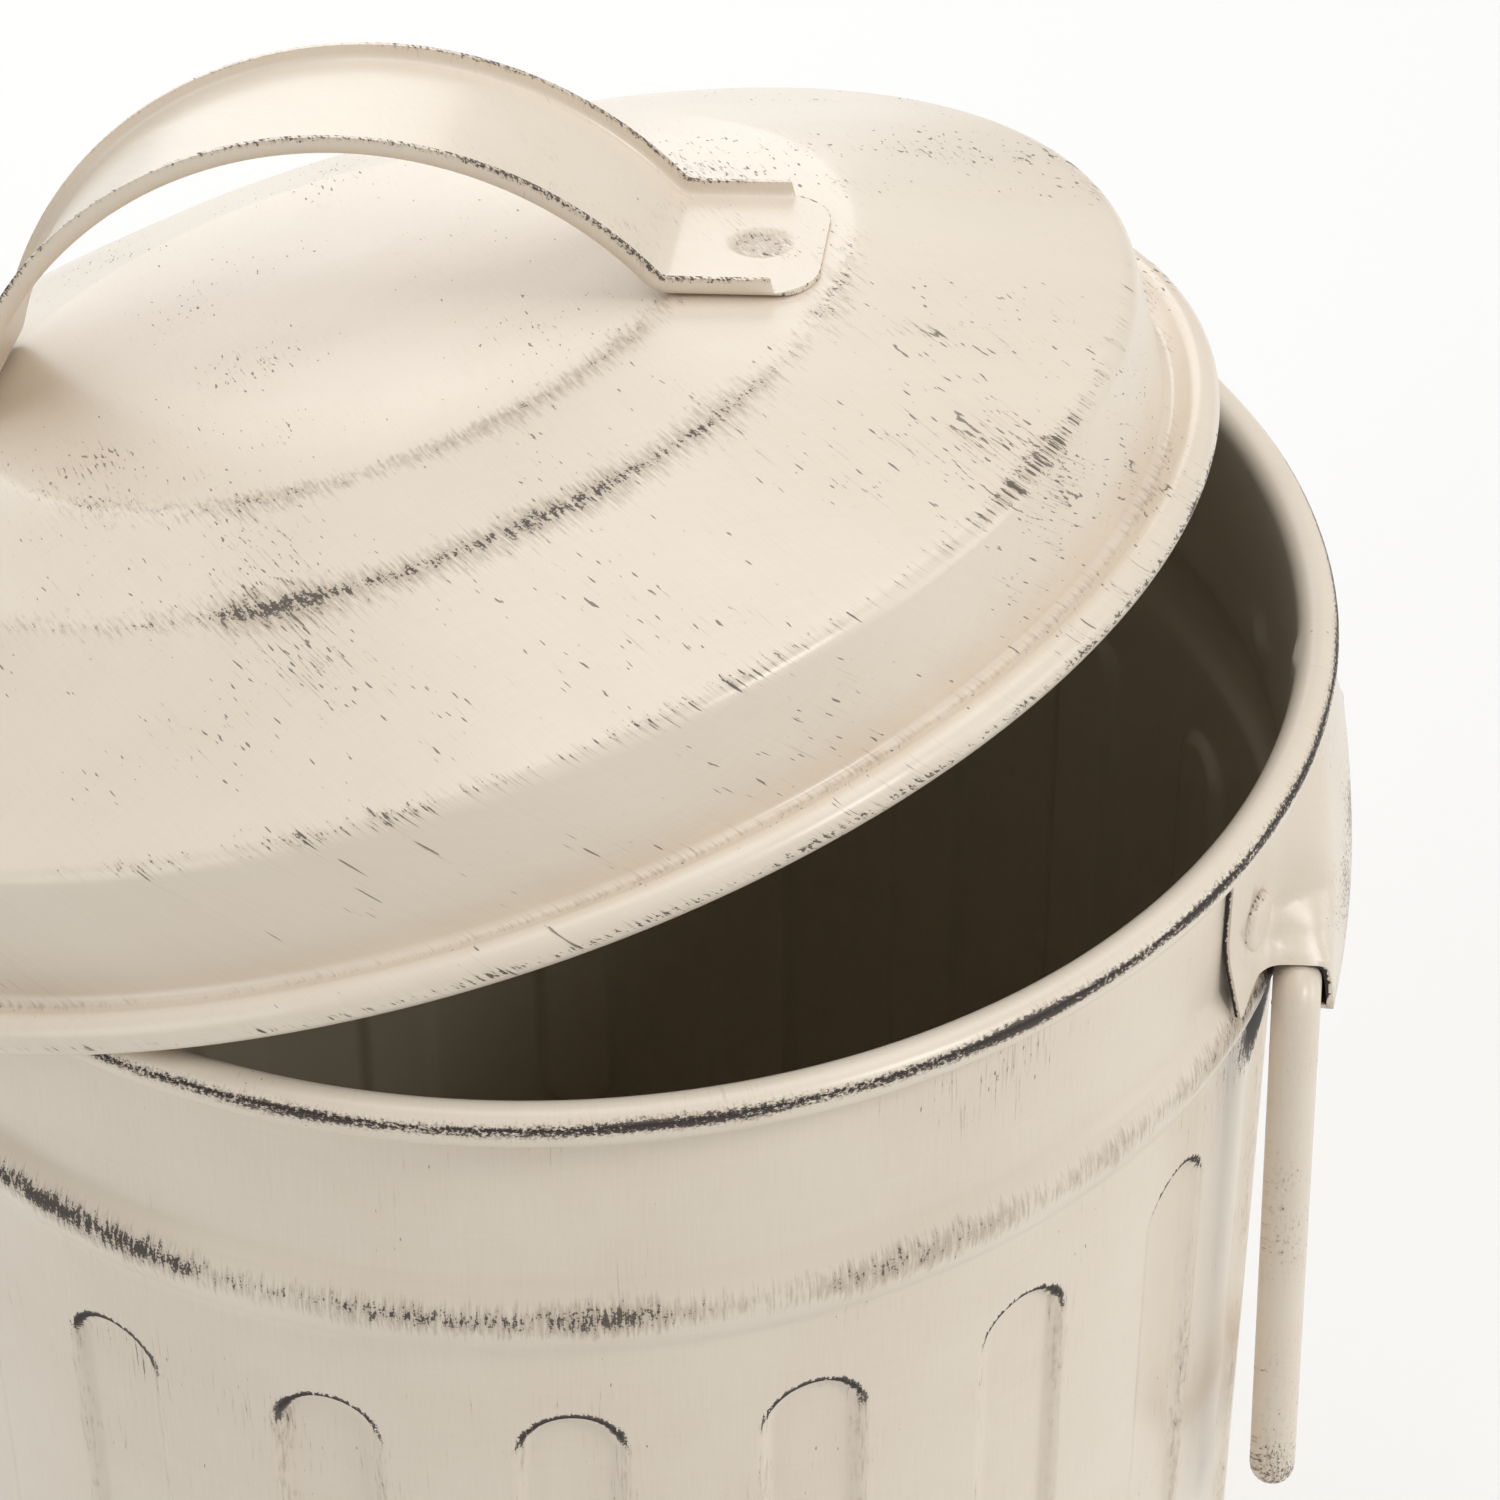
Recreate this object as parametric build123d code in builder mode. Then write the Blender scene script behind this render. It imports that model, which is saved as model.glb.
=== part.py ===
from build123d import *
import math
import os

# Sizes in mm. Bucket axis is Z, its underside is at Z = 0 and the two ears lie on the X axis.

# Drum
SHEET = 0.6
FIT = 0.1
RIM_RADIUS = 119.95
RIM_TUBE = 3.25
RIM_Z = 284.8
RIM_CURL_END = -125
WALL_IN = RIM_RADIUS - RIM_TUBE
WALL_OUT = WALL_IN + SHEET
RIB_CREST = 120.4
RIB_HALF = 7.7
RIB_BLEND = 4
RIB_HIGH_Z = RIM_Z - 40.5
RIB_LOW_Z = 42

# Flutes pressed into the drum
FLUTE_COUNT = 20
FLUTE_PITCH = 360 / FLUTE_COUNT
FLUTE_FIRST = FLUTE_PITCH / 2
FLUTE_WIDTH = 15.5
FLUTE_TOP_Z = RIM_Z - 63.2
FLUTE_BOTTOM_Z = RIB_LOW_Z + 22.7
FLUTE_DEPTH = 1.7
FLUTE_SLOPE = 40
FLUTE_REACH = 3

# Bottom pan and the seam that joins it to the drum
PAN_SHEET = 0.7
SEAM_FLANGE = 2.1
SEAM_HEIGHT = 3.2
SEAM_RADIUS = 0.6
PRESSING_RADIUS = 88
PRESSING_WIDTH = 9
PRESSING_HEIGHT = 2.4

# Pressed dimples that fix the ears
DIMPLE_ANGLE = 17.3
DIMPLE_Z = RIM_Z - 26
DIMPLE_RADIUS = 4.6
DIMPLE_DEPTH = 0.5
DIMPLE_BUMP = 1.5

# Ears
EAR_SHEET = 1.0
EAR_TOP = -4.6
EAR_BOTTOM = -43.6
EAR_CORNER = 4
WING_OUT = WALL_OUT + 2 * FIT + EAR_SHEET
WING_FLARE_START = -24
WING_FLARE_SLOPE = 0.24
HOOD_MIDDLE = ((-4.6, 121.4), (-10.5, 123.1), (-25.5, 126.3), (-35.5, 127.7), (-43.6, 128.5))
HOOD_SPREAD = 2.8
HOOD_SPREAD_TOP = -8
HOOD_SPREAD_FULL = -36
CHEEK_INNER = ((-4.6, 5.5), (-14, 7.5), (-26, 10.2), (-34.5, 15.2), (-43.6, 16.0))
CHEEK_OUTER = ((-4.6, 13.5), (-14, 14.2), (-26, 15.4), (-34.5, 18.9), (-43.6, 19.6))
EAR_LEVELS = (-4.6, -10, -16, -22, -26, -30, -34, -38, -43.6)
EAR_STEP = 1.5
EAR_HALF_STEPS = 15
EAR_ANGLES = [EAR_STEP * step for step in range(-EAR_HALF_STEPS, EAR_HALF_STEPS + 1)]
LIP_IN = 121.7
LIP_SHEET = 0.8

# Drop handles
ROD = 3.8
PIVOT_X = 120.5
PIVOT_DROP = -38
PIVOT_Z = RIM_Z + PIVOT_DROP
HANDLE_HALF = 39
HANDLE_REACH = 108.5
HANDLE_LEAN = 1.8
ELBOW = 5
HANDLE_CORNER = 12
STUB_END = 31
STUB_CHAMFER = 0.6
MOUTH_CLEARANCE = 1
MOUTH_HEADROOM = 0.8
MOUTH_ROUND = 2.8
MOUTH_TAIL = (47, -36.4)

# Lid, which rests ajar on the rim
LID_SHEET = 0.6
LID_CENTRE = (-23.60, 10.60, RIM_Z - 3.1)
LID_LEAN = 17.496
LID_LEAN_DIRECTION = 155.89
LID_BEAD_RADIUS = 127.6
LID_TUBE = 3.0
LID_SKIRT = 122.5
LID_SHOULDER_H = 22.6
LID_SHOULDER_ROUND = 2.6
LID_CREASE_OUT = (81.8, 38.4)
LID_CREASE_IN = (58.35, 44.05)
LID_MIDDLE = (20, 44.7)
LID_CREASE_ROUND = 9
LID_GUTTER_H = 1.5
LID_GUTTER_ROUND = 1.6
LID_CURL_START = 125
LID_CURL_END = -150

# Strap handle of the lid
STRAP_SHEET = 0.9
STRAP_HEADING = -154.01
STRAP_MIDDLE = -1
STRAP_HALF_SPAN = 55.5
STRAP_TOP = 80
STRAP_WIDTH = 35.4
STRAP_LIP = 3.3
STRAP_KNEE = 5
STRAP_LIP_END = 71.5
STRAP_TIP = 78
STRAP_TIP_ROUND = 9
STRAP_TONGUE = 12
STRAP_SEAT = 0.1
STRAP_EDGE_ROUND = 1.4
STRAP_DIMPLE = 68.6


def between(table, key):
    # Straight-line reading of a table of (key, value) pairs whose keys run downwards.
    for (high, high_value), (low, low_value) in zip(table, table[1:]):
        if key >= low:
            share = (high - key) / (high - low)
            return high_value + share * (low_value - high_value)
    return table[-1][1]


def polar(radius, angle):
    return (radius * math.cos(math.radians(angle)), radius * math.sin(math.radians(angle)))


pan_top = PAN_SHEET + FIT


def drum_outline(wall, crest):
    # Half section from the axis to the drum's surface, with both ribs.
    with BuildSketch(Plane.XZ) as section:
        with BuildLine():
            Polyline((0, RIM_Z), (0, pan_top), (wall, pan_top), (wall, RIB_LOW_Z - RIB_HALF))
            ThreePointArc((wall, RIB_LOW_Z - RIB_HALF), (crest, RIB_LOW_Z), (wall, RIB_LOW_Z + RIB_HALF))
            Line((wall, RIB_LOW_Z + RIB_HALF), (wall, RIB_HIGH_Z - RIB_HALF))
            ThreePointArc((wall, RIB_HIGH_Z - RIB_HALF), (crest, RIB_HIGH_Z), (wall, RIB_HIGH_Z + RIB_HALF))
            Line((wall, RIB_HIGH_Z + RIB_HALF), (wall, RIM_Z))
            Line((wall, RIM_Z), (0, RIM_Z))
        make_face()
        shoulders = [
            corner
            for corner in section.vertices()
            if RIB_LOW_Z - RIB_HALF - 1 < corner.Y < RIM_Z - 1 and corner.X > 1
        ]
        fillet(shoulders, RIB_BLEND)
    return section


def flute_planes(distance):
    middle = (FLUTE_TOP_Z + FLUTE_BOTTOM_Z) / 2
    planes = []
    for index in range(FLUTE_COUNT):
        angle = FLUTE_FIRST + index * FLUTE_PITCH
        x, y = polar(distance, angle)
        out = (*polar(1, angle), 0)
        planes.append(Plane(origin=(x, y, middle), x_dir=(0, 0, 1), z_dir=out))
    return planes


# Drum: a turned shell whose inner and outer skins both carry the ribs and the flutes
flute_length = FLUTE_TOP_Z - FLUTE_BOTTOM_Z
slope = math.radians(FLUTE_SLOPE)
flute_spread = 2 * FLUTE_REACH * math.tan(slope)
skin_growth = 2 * SHEET * (1 - math.sin(slope)) / math.cos(slope)

with BuildPart() as core:
    add(drum_outline(WALL_IN, RIB_CREST - SHEET).sketch)
    revolve(axis=Axis.Z)
    with BuildSketch(*flute_planes(WALL_IN + FLUTE_REACH)):
        SlotOverall(flute_length + skin_growth + flute_spread, FLUTE_WIDTH + skin_growth + flute_spread)
    extrude(amount=-(FLUTE_REACH + FLUTE_DEPTH), taper=FLUTE_SLOPE, mode=Mode.SUBTRACT)

with BuildPart() as drum:
    add(drum_outline(WALL_OUT, RIB_CREST).sketch)
    revolve(axis=Axis.Z)
    with BuildSketch(Plane.XY.offset(pan_top)):
        Circle(WALL_OUT + SEAM_FLANGE)
    extrude(amount=SHEET)
    with BuildSketch(*flute_planes(WALL_OUT + FLUTE_REACH)):
        SlotOverall(flute_length + flute_spread, FLUTE_WIDTH + flute_spread)
    extrude(amount=-(FLUTE_REACH + FLUTE_DEPTH), taper=FLUTE_SLOPE, mode=Mode.SUBTRACT)
    add(core.part, mode=Mode.SUBTRACT)
    # Edge of the drum, curled outwards and tucked back under itself
    with BuildSketch(Plane.XZ):
        with BuildLine():
            outer = CenterArc((RIM_RADIUS, RIM_Z), RIM_TUBE, 180, RIM_CURL_END - 180)
            inner = CenterArc((RIM_RADIUS, RIM_Z), RIM_TUBE - SHEET, 180, RIM_CURL_END - 180)
            Line(outer @ 0, inner @ 0)
            Line(outer @ 1, inner @ 1)
        make_face()
    revolve(axis=Axis.Z)
    # Low bumps inside, behind the dimples of the ears
    for side in (0, 180):
        for turn in (-DIMPLE_ANGLE, DIMPLE_ANGLE):
            angle = side + turn
            x, y = polar(WALL_IN + SHEET / 2, angle)
            with BuildSketch(Plane(origin=(x, y, DIMPLE_Z), x_dir=(0, 0, 1), z_dir=(*polar(-1, angle), 0))):
                Circle(DIMPLE_RADIUS)
            extrude(amount=DIMPLE_BUMP, taper=DIMPLE_RADIUS * 8)
drum.part.label = "drum"

# Wire inside the curled edge
with BuildPart() as rim_wire:
    with BuildSketch(Plane.XZ):
        with Locations((RIM_RADIUS, RIM_Z)):
            Circle(RIM_TUBE - SHEET - FIT)
    revolve(axis=Axis.Z)
rim_wire.part.label = "rim_wire"

# Bottom pan, its edge folded round the flange of the drum
seam_out = WALL_OUT + SEAM_FLANGE + FIT + PAN_SHEET
seam_in = WALL_OUT + FIT
fold_under = pan_top + SHEET + FIT
with BuildPart() as base_pan:
    with BuildSketch(Plane.XZ) as pan_section:
        with BuildLine():
            Polyline(
                (0, 0),
                (seam_out, 0),
                (seam_out, SEAM_HEIGHT),
                (seam_in, SEAM_HEIGHT),
                (seam_in, fold_under),
                (seam_out - PAN_SHEET, fold_under),
                (seam_out - PAN_SHEET, PAN_SHEET),
                (PRESSING_RADIUS + PRESSING_WIDTH, PAN_SHEET),
                (PRESSING_RADIUS + PRESSING_WIDTH - PRESSING_HEIGHT, PAN_SHEET + PRESSING_HEIGHT),
                (PRESSING_RADIUS + PRESSING_HEIGHT, PAN_SHEET + PRESSING_HEIGHT),
                (PRESSING_RADIUS, PAN_SHEET),
                (0, PAN_SHEET),
                close=True,
            )
        make_face()
        with BuildLine():
            Polyline(
                (PRESSING_RADIUS + PAN_SHEET, 0),
                (PRESSING_RADIUS + PRESSING_HEIGHT + PAN_SHEET, PRESSING_HEIGHT),
                (PRESSING_RADIUS + PRESSING_WIDTH - PRESSING_HEIGHT - PAN_SHEET, PRESSING_HEIGHT),
                (PRESSING_RADIUS + PRESSING_WIDTH - PAN_SHEET, 0),
                close=True,
            )
        make_face(mode=Mode.SUBTRACT)
        rim_corners = [corner for corner in pan_section.vertices() if corner.X > seam_out - FIT]
        fillet(rim_corners, SEAM_RADIUS)
    revolve(axis=Axis.Z)
base_pan.part.label = "base_pan"


def wing_radius(level):
    return WING_OUT + WING_FLARE_SLOPE * max(0, WING_FLARE_START - level)


def hood_radius(angle, level):
    depth = (HOOD_SPREAD_TOP - level) / (HOOD_SPREAD_TOP - HOOD_SPREAD_FULL)
    share = min(max(depth, 0), 1)
    inner = between(CHEEK_INNER, level)
    return between(HOOD_MIDDLE, level) + HOOD_SPREAD * share * (angle / inner) ** 2 * (inner / 16) ** 2


def ear_radius(angle, level):
    # Hood in the middle, wing at the side and a smooth cheek between the two.
    inner = between(CHEEK_INNER, level)
    outer = between(CHEEK_OUTER, level)
    wing = wing_radius(level)
    if abs(angle) <= inner:
        return hood_radius(abs(angle), level)
    if abs(angle) >= outer:
        return wing
    share = (abs(angle) - inner) / (outer - inner)
    ease = share * share * (3 - 2 * share)
    return hood_radius(inner, level) * (1 - ease) + wing * ease


def ear_curve(level, inset):
    return [polar(ear_radius(angle, level) - inset, angle) for angle in EAR_ANGLES]


def ear_band(level):
    points_out = ear_curve(level, 0)
    points_in = ear_curve(level, EAR_SHEET)
    with BuildSketch(Plane.XY.offset(RIM_Z + level)) as band:
        with BuildLine():
            Spline(*points_out)
            Spline(*points_in)
            Line(points_out[0], points_in[0])
            Line(points_out[-1], points_in[-1])
        make_face()
    return band


# Ear: a pressed hood between two wings, open at both lower corners for the legs of the handle
mouth_low = PIVOT_Z - 30
mouth_edge = HANDLE_HALF - ROD - MOUTH_CLEARANCE
mouth_top = PIVOT_Z + ROD + MOUTH_HEADROOM
mouth_far = 70
wing_end = polar(WING_OUT, EAR_ANGLES[-1])[1]
with BuildPart() as ear_right:
    for level in EAR_LEVELS:
        add(ear_band(level).sketch)
    loft(ruled=True)
    # Lower edge of the hood, turned in under the ends of the rod
    with BuildSketch(Plane.XY.offset(RIM_Z + EAR_BOTTOM)):
        lip_out = ear_curve(EAR_BOTTOM, FIT)
        lip_in = [polar(LIP_IN, angle) for angle in (EAR_ANGLES[0], 0, EAR_ANGLES[-1])]
        with BuildLine():
            Spline(*lip_out)
            ThreePointArc(*lip_in)
            Line(lip_out[0], lip_in[0])
            Line(lip_out[-1], lip_in[-1])
        make_face()
    extrude(amount=LIP_SHEET)
    # Arched mouths, concentric with the pivot so that the legs can swing out
    with BuildSketch(Plane.YZ) as mouths:
        with BuildLine():
            Polyline(
                (mouth_edge, mouth_low),
                (mouth_edge, mouth_top),
                (HANDLE_HALF, mouth_top),
                (MOUTH_TAIL[0], RIM_Z + MOUTH_TAIL[1]),
                (mouth_far, RIM_Z + MOUTH_TAIL[1]),
                (mouth_far, mouth_low),
                close=True,
            )
        make_face()
        arch = [corner for corner in mouths.vertices() if corner.X < mouth_edge + 1 and corner.Y > mouth_top - 1]
        fillet(arch, MOUTH_ROUND)
        mirror(about=Plane.YZ)
    extrude(amount=PIVOT_X + mouth_far, mode=Mode.SUBTRACT)
    # Rounded upper corners of the wings
    with BuildSketch(Plane.YZ) as corners:
        with Locations((wing_end - EAR_CORNER / 2, RIM_Z + EAR_TOP - EAR_CORNER / 2)):
            Rectangle(EAR_CORNER, EAR_CORNER)
        with Locations((wing_end - EAR_CORNER, RIM_Z + EAR_TOP - EAR_CORNER)):
            Circle(EAR_CORNER, mode=Mode.SUBTRACT)
        mirror(about=Plane.YZ)
    extrude(amount=PIVOT_X + mouth_far, mode=Mode.SUBTRACT)
    # Pressed dimples in the wings
    for turn in (-DIMPLE_ANGLE, DIMPLE_ANGLE):
        x, y = polar(WING_OUT - DIMPLE_DEPTH, turn)
        with BuildSketch(Plane(origin=(x, y, DIMPLE_Z), x_dir=(0, 0, 1), z_dir=(*polar(1, turn), 0))):
            Circle(DIMPLE_RADIUS - DIMPLE_DEPTH)
        extrude(amount=DIMPLE_DEPTH * 2, taper=-45, mode=Mode.SUBTRACT)
ear_right.part.label = "ear_right"

with BuildPart() as ear_left:
    add(ear_right.part.rotate(Axis.Z, 180))
ear_left.part.label = "ear_left"

# Drop handle: one bent rod, its ends turned in behind the hood
lean = math.radians(HANDLE_LEAN)
handle_plane = Plane(
    origin=(PIVOT_X, 0, PIVOT_Z),
    x_dir=(0, 1, 0),
    z_dir=(math.cos(lean), 0, math.sin(lean)),
)
with BuildPart() as handle_right:
    with BuildLine(handle_plane) as ring:
        Polyline(
            (-STUB_END, 0),
            (-HANDLE_HALF, 0),
            (-HANDLE_HALF, -HANDLE_REACH),
            (HANDLE_HALF, -HANDLE_REACH),
            (HANDLE_HALF, 0),
            (STUB_END, 0),
        )
        upper = [point for point in ring.vertices() if abs(point.Y) > STUB_END + 1 and point.Z > PIVOT_Z - ELBOW]
        fillet(upper, ELBOW)
        lower = [point for point in ring.vertices() if point.Z < PIVOT_Z - HANDLE_REACH + HANDLE_CORNER / 2]
        fillet(lower, HANDLE_CORNER)
    with BuildSketch(Plane(origin=ring.line @ 0, z_dir=ring.line % 0)):
        Circle(ROD)
    sweep()
    ends = handle_right.faces().filter_by(GeomType.PLANE)
    chamfer(ends.edges(), STUB_CHAMFER)
handle_right.part.label = "handle_right"

with BuildPart() as handle_left:
    add(handle_right.part.rotate(Axis.Z, 180))
handle_left.part.label = "handle_left"

# Frame of the lid, whose X axis points down the slope
lean_x, lean_y = polar(1, LID_LEAN_DIRECTION)
lid_sin = math.sin(math.radians(LID_LEAN))
lid_cos = math.cos(math.radians(LID_LEAN))
lid_frame = Plane(
    origin=LID_CENTRE,
    x_dir=(lean_x * lid_cos, lean_y * lid_cos, -lid_sin),
    z_dir=(lean_x * lid_sin, lean_y * lid_sin, lid_cos),
)
lid_axis = Axis(lid_frame.origin, lid_frame.z_dir)
lid_section = Plane(origin=lid_frame.origin, x_dir=lid_frame.x_dir, z_dir=-lid_frame.y_dir)

# Lid cover: stepped cone, rounded shoulder, upright skirt, gutter and curled edge
half_sheet = LID_SHEET / 2
curl_radius = LID_TUBE - half_sheet
with BuildPart() as lid_cover:
    with BuildSketch(lid_section):
        with BuildLine() as cover_line:
            skirt = LID_SKIRT - half_sheet
            start = (
                LID_BEAD_RADIUS + curl_radius * math.cos(math.radians(LID_CURL_START)),
                curl_radius * math.sin(math.radians(LID_CURL_START)),
            )
            Polyline(
                (0, LID_MIDDLE[1] - half_sheet),
                (LID_MIDDLE[0], LID_MIDDLE[1] - half_sheet),
                (LID_CREASE_IN[0], LID_CREASE_IN[1] - half_sheet),
                (LID_CREASE_OUT[0], LID_CREASE_OUT[1] - half_sheet),
                (skirt, LID_SHOULDER_H - half_sheet),
                (skirt, LID_GUTTER_H - half_sheet),
                start,
            )
            creases = [
                point
                for point in cover_line.vertices()
                if 1 < point.X < LID_CREASE_OUT[0] + 1 and point.Y > LID_SHOULDER_H
            ]
            fillet(creases, LID_CREASE_ROUND)
            shoulder = [point for point in cover_line.vertices() if abs(point.Y - LID_SHOULDER_H + half_sheet) < FIT]
            fillet(shoulder, LID_SHOULDER_ROUND)
            gutter = [point for point in cover_line.vertices() if abs(point.Y - LID_GUTTER_H + half_sheet) < FIT]
            fillet(gutter, LID_GUTTER_ROUND)
            CenterArc((LID_BEAD_RADIUS, 0), curl_radius, LID_CURL_START, LID_CURL_END - LID_CURL_START)
        trace(line_width=LID_SHEET)
    revolve(axis=lid_axis)
lid_cover.part.label = "lid_cover"

# Wire inside the curled edge of the lid
with BuildPart() as lid_wire:
    with BuildSketch(lid_section):
        with Locations((LID_BEAD_RADIUS, 0)):
            Circle(LID_TUBE - LID_SHEET - FIT)
    revolve(axis=lid_axis)
lid_wire.part.label = "lid_wire"

# Strap handle of the lid: a channel bent to an arch, with flat rounded feet
heading = math.radians(STRAP_HEADING)
along = lid_frame.x_dir * math.cos(heading) + lid_frame.y_dir * math.sin(heading)
across = lid_frame.z_dir.cross(along)
strap_section = Plane(origin=lid_frame.origin, x_dir=along, z_dir=-across)
cone_slope = (LID_CREASE_OUT[1] - LID_CREASE_IN[1]) / (LID_CREASE_OUT[0] - LID_CREASE_IN[0])


def foot_height(distance):
    # Middle of the strap's sheet where its foot lies on the cone of the lid.
    return LID_CREASE_IN[1] + cone_slope * (abs(distance) - LID_CREASE_IN[0]) + STRAP_SEAT + STRAP_SHEET / 2


apex = STRAP_TOP + STRAP_SHEET / 2
knees = (STRAP_MIDDLE - STRAP_HALF_SPAN, STRAP_MIDDLE + STRAP_HALF_SPAN)
lip_ends = (2 * STRAP_MIDDLE - STRAP_LIP_END, STRAP_LIP_END)
tips = (2 * STRAP_MIDDLE - STRAP_TIP, STRAP_TIP)
dimples = (2 * STRAP_MIDDLE - STRAP_DIMPLE, STRAP_DIMPLE)
with BuildPart() as lid_strap:
    with BuildLine(strap_section) as strap_line:
        Line((lip_ends[0], foot_height(lip_ends[0])), (knees[0], foot_height(knees[0])))
        ThreePointArc((knees[0], foot_height(knees[0])), (STRAP_MIDDLE, apex), (knees[1], foot_height(knees[1])))
        Line((knees[1], foot_height(knees[1])), (lip_ends[1], foot_height(lip_ends[1])))
        bends = strap_line.vertices().sort_by(Axis(lid_frame.origin, along))[1:3]
        fillet(bends, STRAP_KNEE)
    with BuildSketch(Plane(origin=strap_line.line @ 0, x_dir=across, z_dir=strap_line.line % 0)) as channel:
        with Locations((0, STRAP_LIP / 2 - STRAP_SHEET / 2)):
            Rectangle(STRAP_WIDTH, STRAP_LIP)
        with Locations((0, STRAP_LIP / 2 + STRAP_SHEET / 2)):
            Rectangle(STRAP_WIDTH - 2 * STRAP_SHEET, STRAP_LIP, mode=Mode.SUBTRACT)
        under = [corner for corner in channel.vertices() if corner.Y < 0]
        fillet(under, STRAP_EDGE_ROUND)
    sweep()
    for tip, dimple in zip(tips, dimples):
        outward = math.copysign(1, tip)
        foot_dir = along * outward + lid_frame.z_dir * cone_slope
        foot_origin = strap_section.from_local_coords((tip, foot_height(tip), 0))
        foot_plane = Plane(origin=foot_origin, x_dir=foot_dir, z_dir=foot_dir.cross(across * outward))
        # Rounded end of the foot, past the turned-up edges
        with BuildSketch(foot_plane) as tongue:
            with Locations((-STRAP_TONGUE / 2, 0)):
                Rectangle(STRAP_TONGUE, STRAP_WIDTH - STRAP_SHEET)
            tip_corners = [corner for corner in tongue.vertices() if corner.X > -STRAP_TONGUE / 2]
            fillet(tip_corners, STRAP_TIP_ROUND)
        extrude(amount=STRAP_SHEET / 2, both=True)
        # Pressed dimple that fixes the foot
        with BuildSketch(foot_plane.offset(STRAP_SHEET / 2 - DIMPLE_DEPTH)):
            with Locations((-abs(tip - dimple), 0)):
                Circle(DIMPLE_RADIUS - DIMPLE_DEPTH)
        extrude(amount=2 * DIMPLE_DEPTH, taper=-45, mode=Mode.SUBTRACT)
lid_strap.part.label = "lid_strap"

os.makedirs("parts", exist_ok=True)
for node in (
    drum,
    rim_wire,
    base_pan,
    ear_right,
    ear_left,
    handle_right,
    handle_left,
    lid_cover,
    lid_wire,
    lid_strap,
):
    export_step(node.part, "parts/" + node.part.label + ".step")
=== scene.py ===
# %% [markdown]
# # A painted ash bucket
# This bucket is sheet steel, rolled, ribbed and fluted, with a loose stepped lid and two drop handles.
# Its cream paint is rubbed through to dark metal on every edge that a brush or a hand would catch.
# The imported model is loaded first: it gives the frame that every new piece has to fit.

# %% Load the frame
import math

import bmesh
import bpy
from mathutils import Matrix, Vector


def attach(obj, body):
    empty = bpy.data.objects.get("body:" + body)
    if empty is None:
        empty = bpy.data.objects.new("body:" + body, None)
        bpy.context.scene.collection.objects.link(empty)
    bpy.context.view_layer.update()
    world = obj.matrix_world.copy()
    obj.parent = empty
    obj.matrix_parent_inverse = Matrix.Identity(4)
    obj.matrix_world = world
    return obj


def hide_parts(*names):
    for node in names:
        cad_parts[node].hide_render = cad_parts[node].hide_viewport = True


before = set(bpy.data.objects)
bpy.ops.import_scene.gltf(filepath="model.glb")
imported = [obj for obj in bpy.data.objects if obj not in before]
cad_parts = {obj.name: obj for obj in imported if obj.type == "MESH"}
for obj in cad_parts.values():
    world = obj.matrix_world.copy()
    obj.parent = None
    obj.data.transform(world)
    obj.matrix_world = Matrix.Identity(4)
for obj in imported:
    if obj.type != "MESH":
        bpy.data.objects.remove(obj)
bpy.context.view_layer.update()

# %% [markdown]
# ## Sizes
# The same driving sizes as the part's source, in millimetres, so that both models agree.
# The lid has a frame of its own, because it leans on the rim.

# %% Driving sizes
MM = 0.001
MERGE = 0.001 * MM
SHEET = 0.6
FIT = 0.1
RIM_RADIUS = 119.95
RIM_TUBE = 3.25
RIM_Z = 284.8
WALL_OUT = RIM_RADIUS - RIM_TUBE + SHEET
LOWER_RIB = 42.0
UPPER_RIB = RIM_Z - 40.5
DIMPLE_ANGLE = 17.3
DIMPLE_Z = RIM_Z - 26
DIMPLE_RADIUS = 4.6

LID_CENTRE = Vector((-23.60, 10.60, RIM_Z - 3.1))
LID_LEAN = math.radians(17.496)
LID_LEAN_DIRECTION = math.radians(155.89)
lid_matrix = (
    Matrix.Translation(LID_CENTRE * MM)
    @ Matrix.Rotation(LID_LEAN_DIRECTION, 4, "Z")
    @ Matrix.Rotation(LID_LEAN, 4, "Y")
)
print("wall radius", WALL_OUT, "lid centre", list(LID_CENTRE))

# %% [markdown]
# ## Helpers for profiles
# Most of the bucket is turned, so it starts as a profile of a few corners.
# One helper rounds the corners, one gives a line the thickness of sheet, and one spins the result.

# %% Round a line's corners
ARC_STEP = math.radians(9)
STRAIGHT = math.radians(1)


def rounded(corners, radii):
    """A line through corners, each inner one rounded to its radius."""
    line = [Vector(corners[0])]
    for before, corner, after, radius in zip(corners, corners[1:], corners[2:], radii):
        corner = Vector(corner)
        back = (Vector(before) - corner).normalized()
        ahead = (Vector(after) - corner).normalized()
        turn = math.pi - back.angle(ahead)
        if radius == 0 or turn < STRAIGHT:
            line.append(corner)
            continue
        centre = corner + (back + ahead).normalized() * (radius / math.cos(turn / 2))
        start = corner + back * radius * math.tan(turn / 2) - centre
        side = 1 if ahead.x * back.y - ahead.y * back.x > 0 else -1
        steps = max(2, round(turn / ARC_STEP))
        for step in range(steps + 1):
            angle = side * turn * step / steps
            cos, sin = math.cos(angle), math.sin(angle)
            line.append(centre + Vector((start.x * cos - start.y * sin, start.x * sin + start.y * cos)))
    line.append(Vector(corners[-1]))
    return line


def arc(centre, radius, start, end, step=15):
    """Points on an arc. The angles and the step between two points are in degrees."""
    count = max(2, round(abs(end - start) / step))
    angles = [math.radians(start + (end - start) * i / count) for i in range(count + 1)]
    return [Vector((centre[0] + radius * math.cos(a), centre[1] + radius * math.sin(a))) for a in angles]


print("points on a rounded right angle", len(rounded([(0, 0), (9, 0), (9, 9)], [5])))


# %% Divide lines and give them thickness
def spaced(low, high, step):
    """Even steps of at most that size, from low up to but without high."""
    count = max(1, math.ceil((high - low) / step))
    return [low + (high - low) * i / count for i in range(count)]


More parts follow.
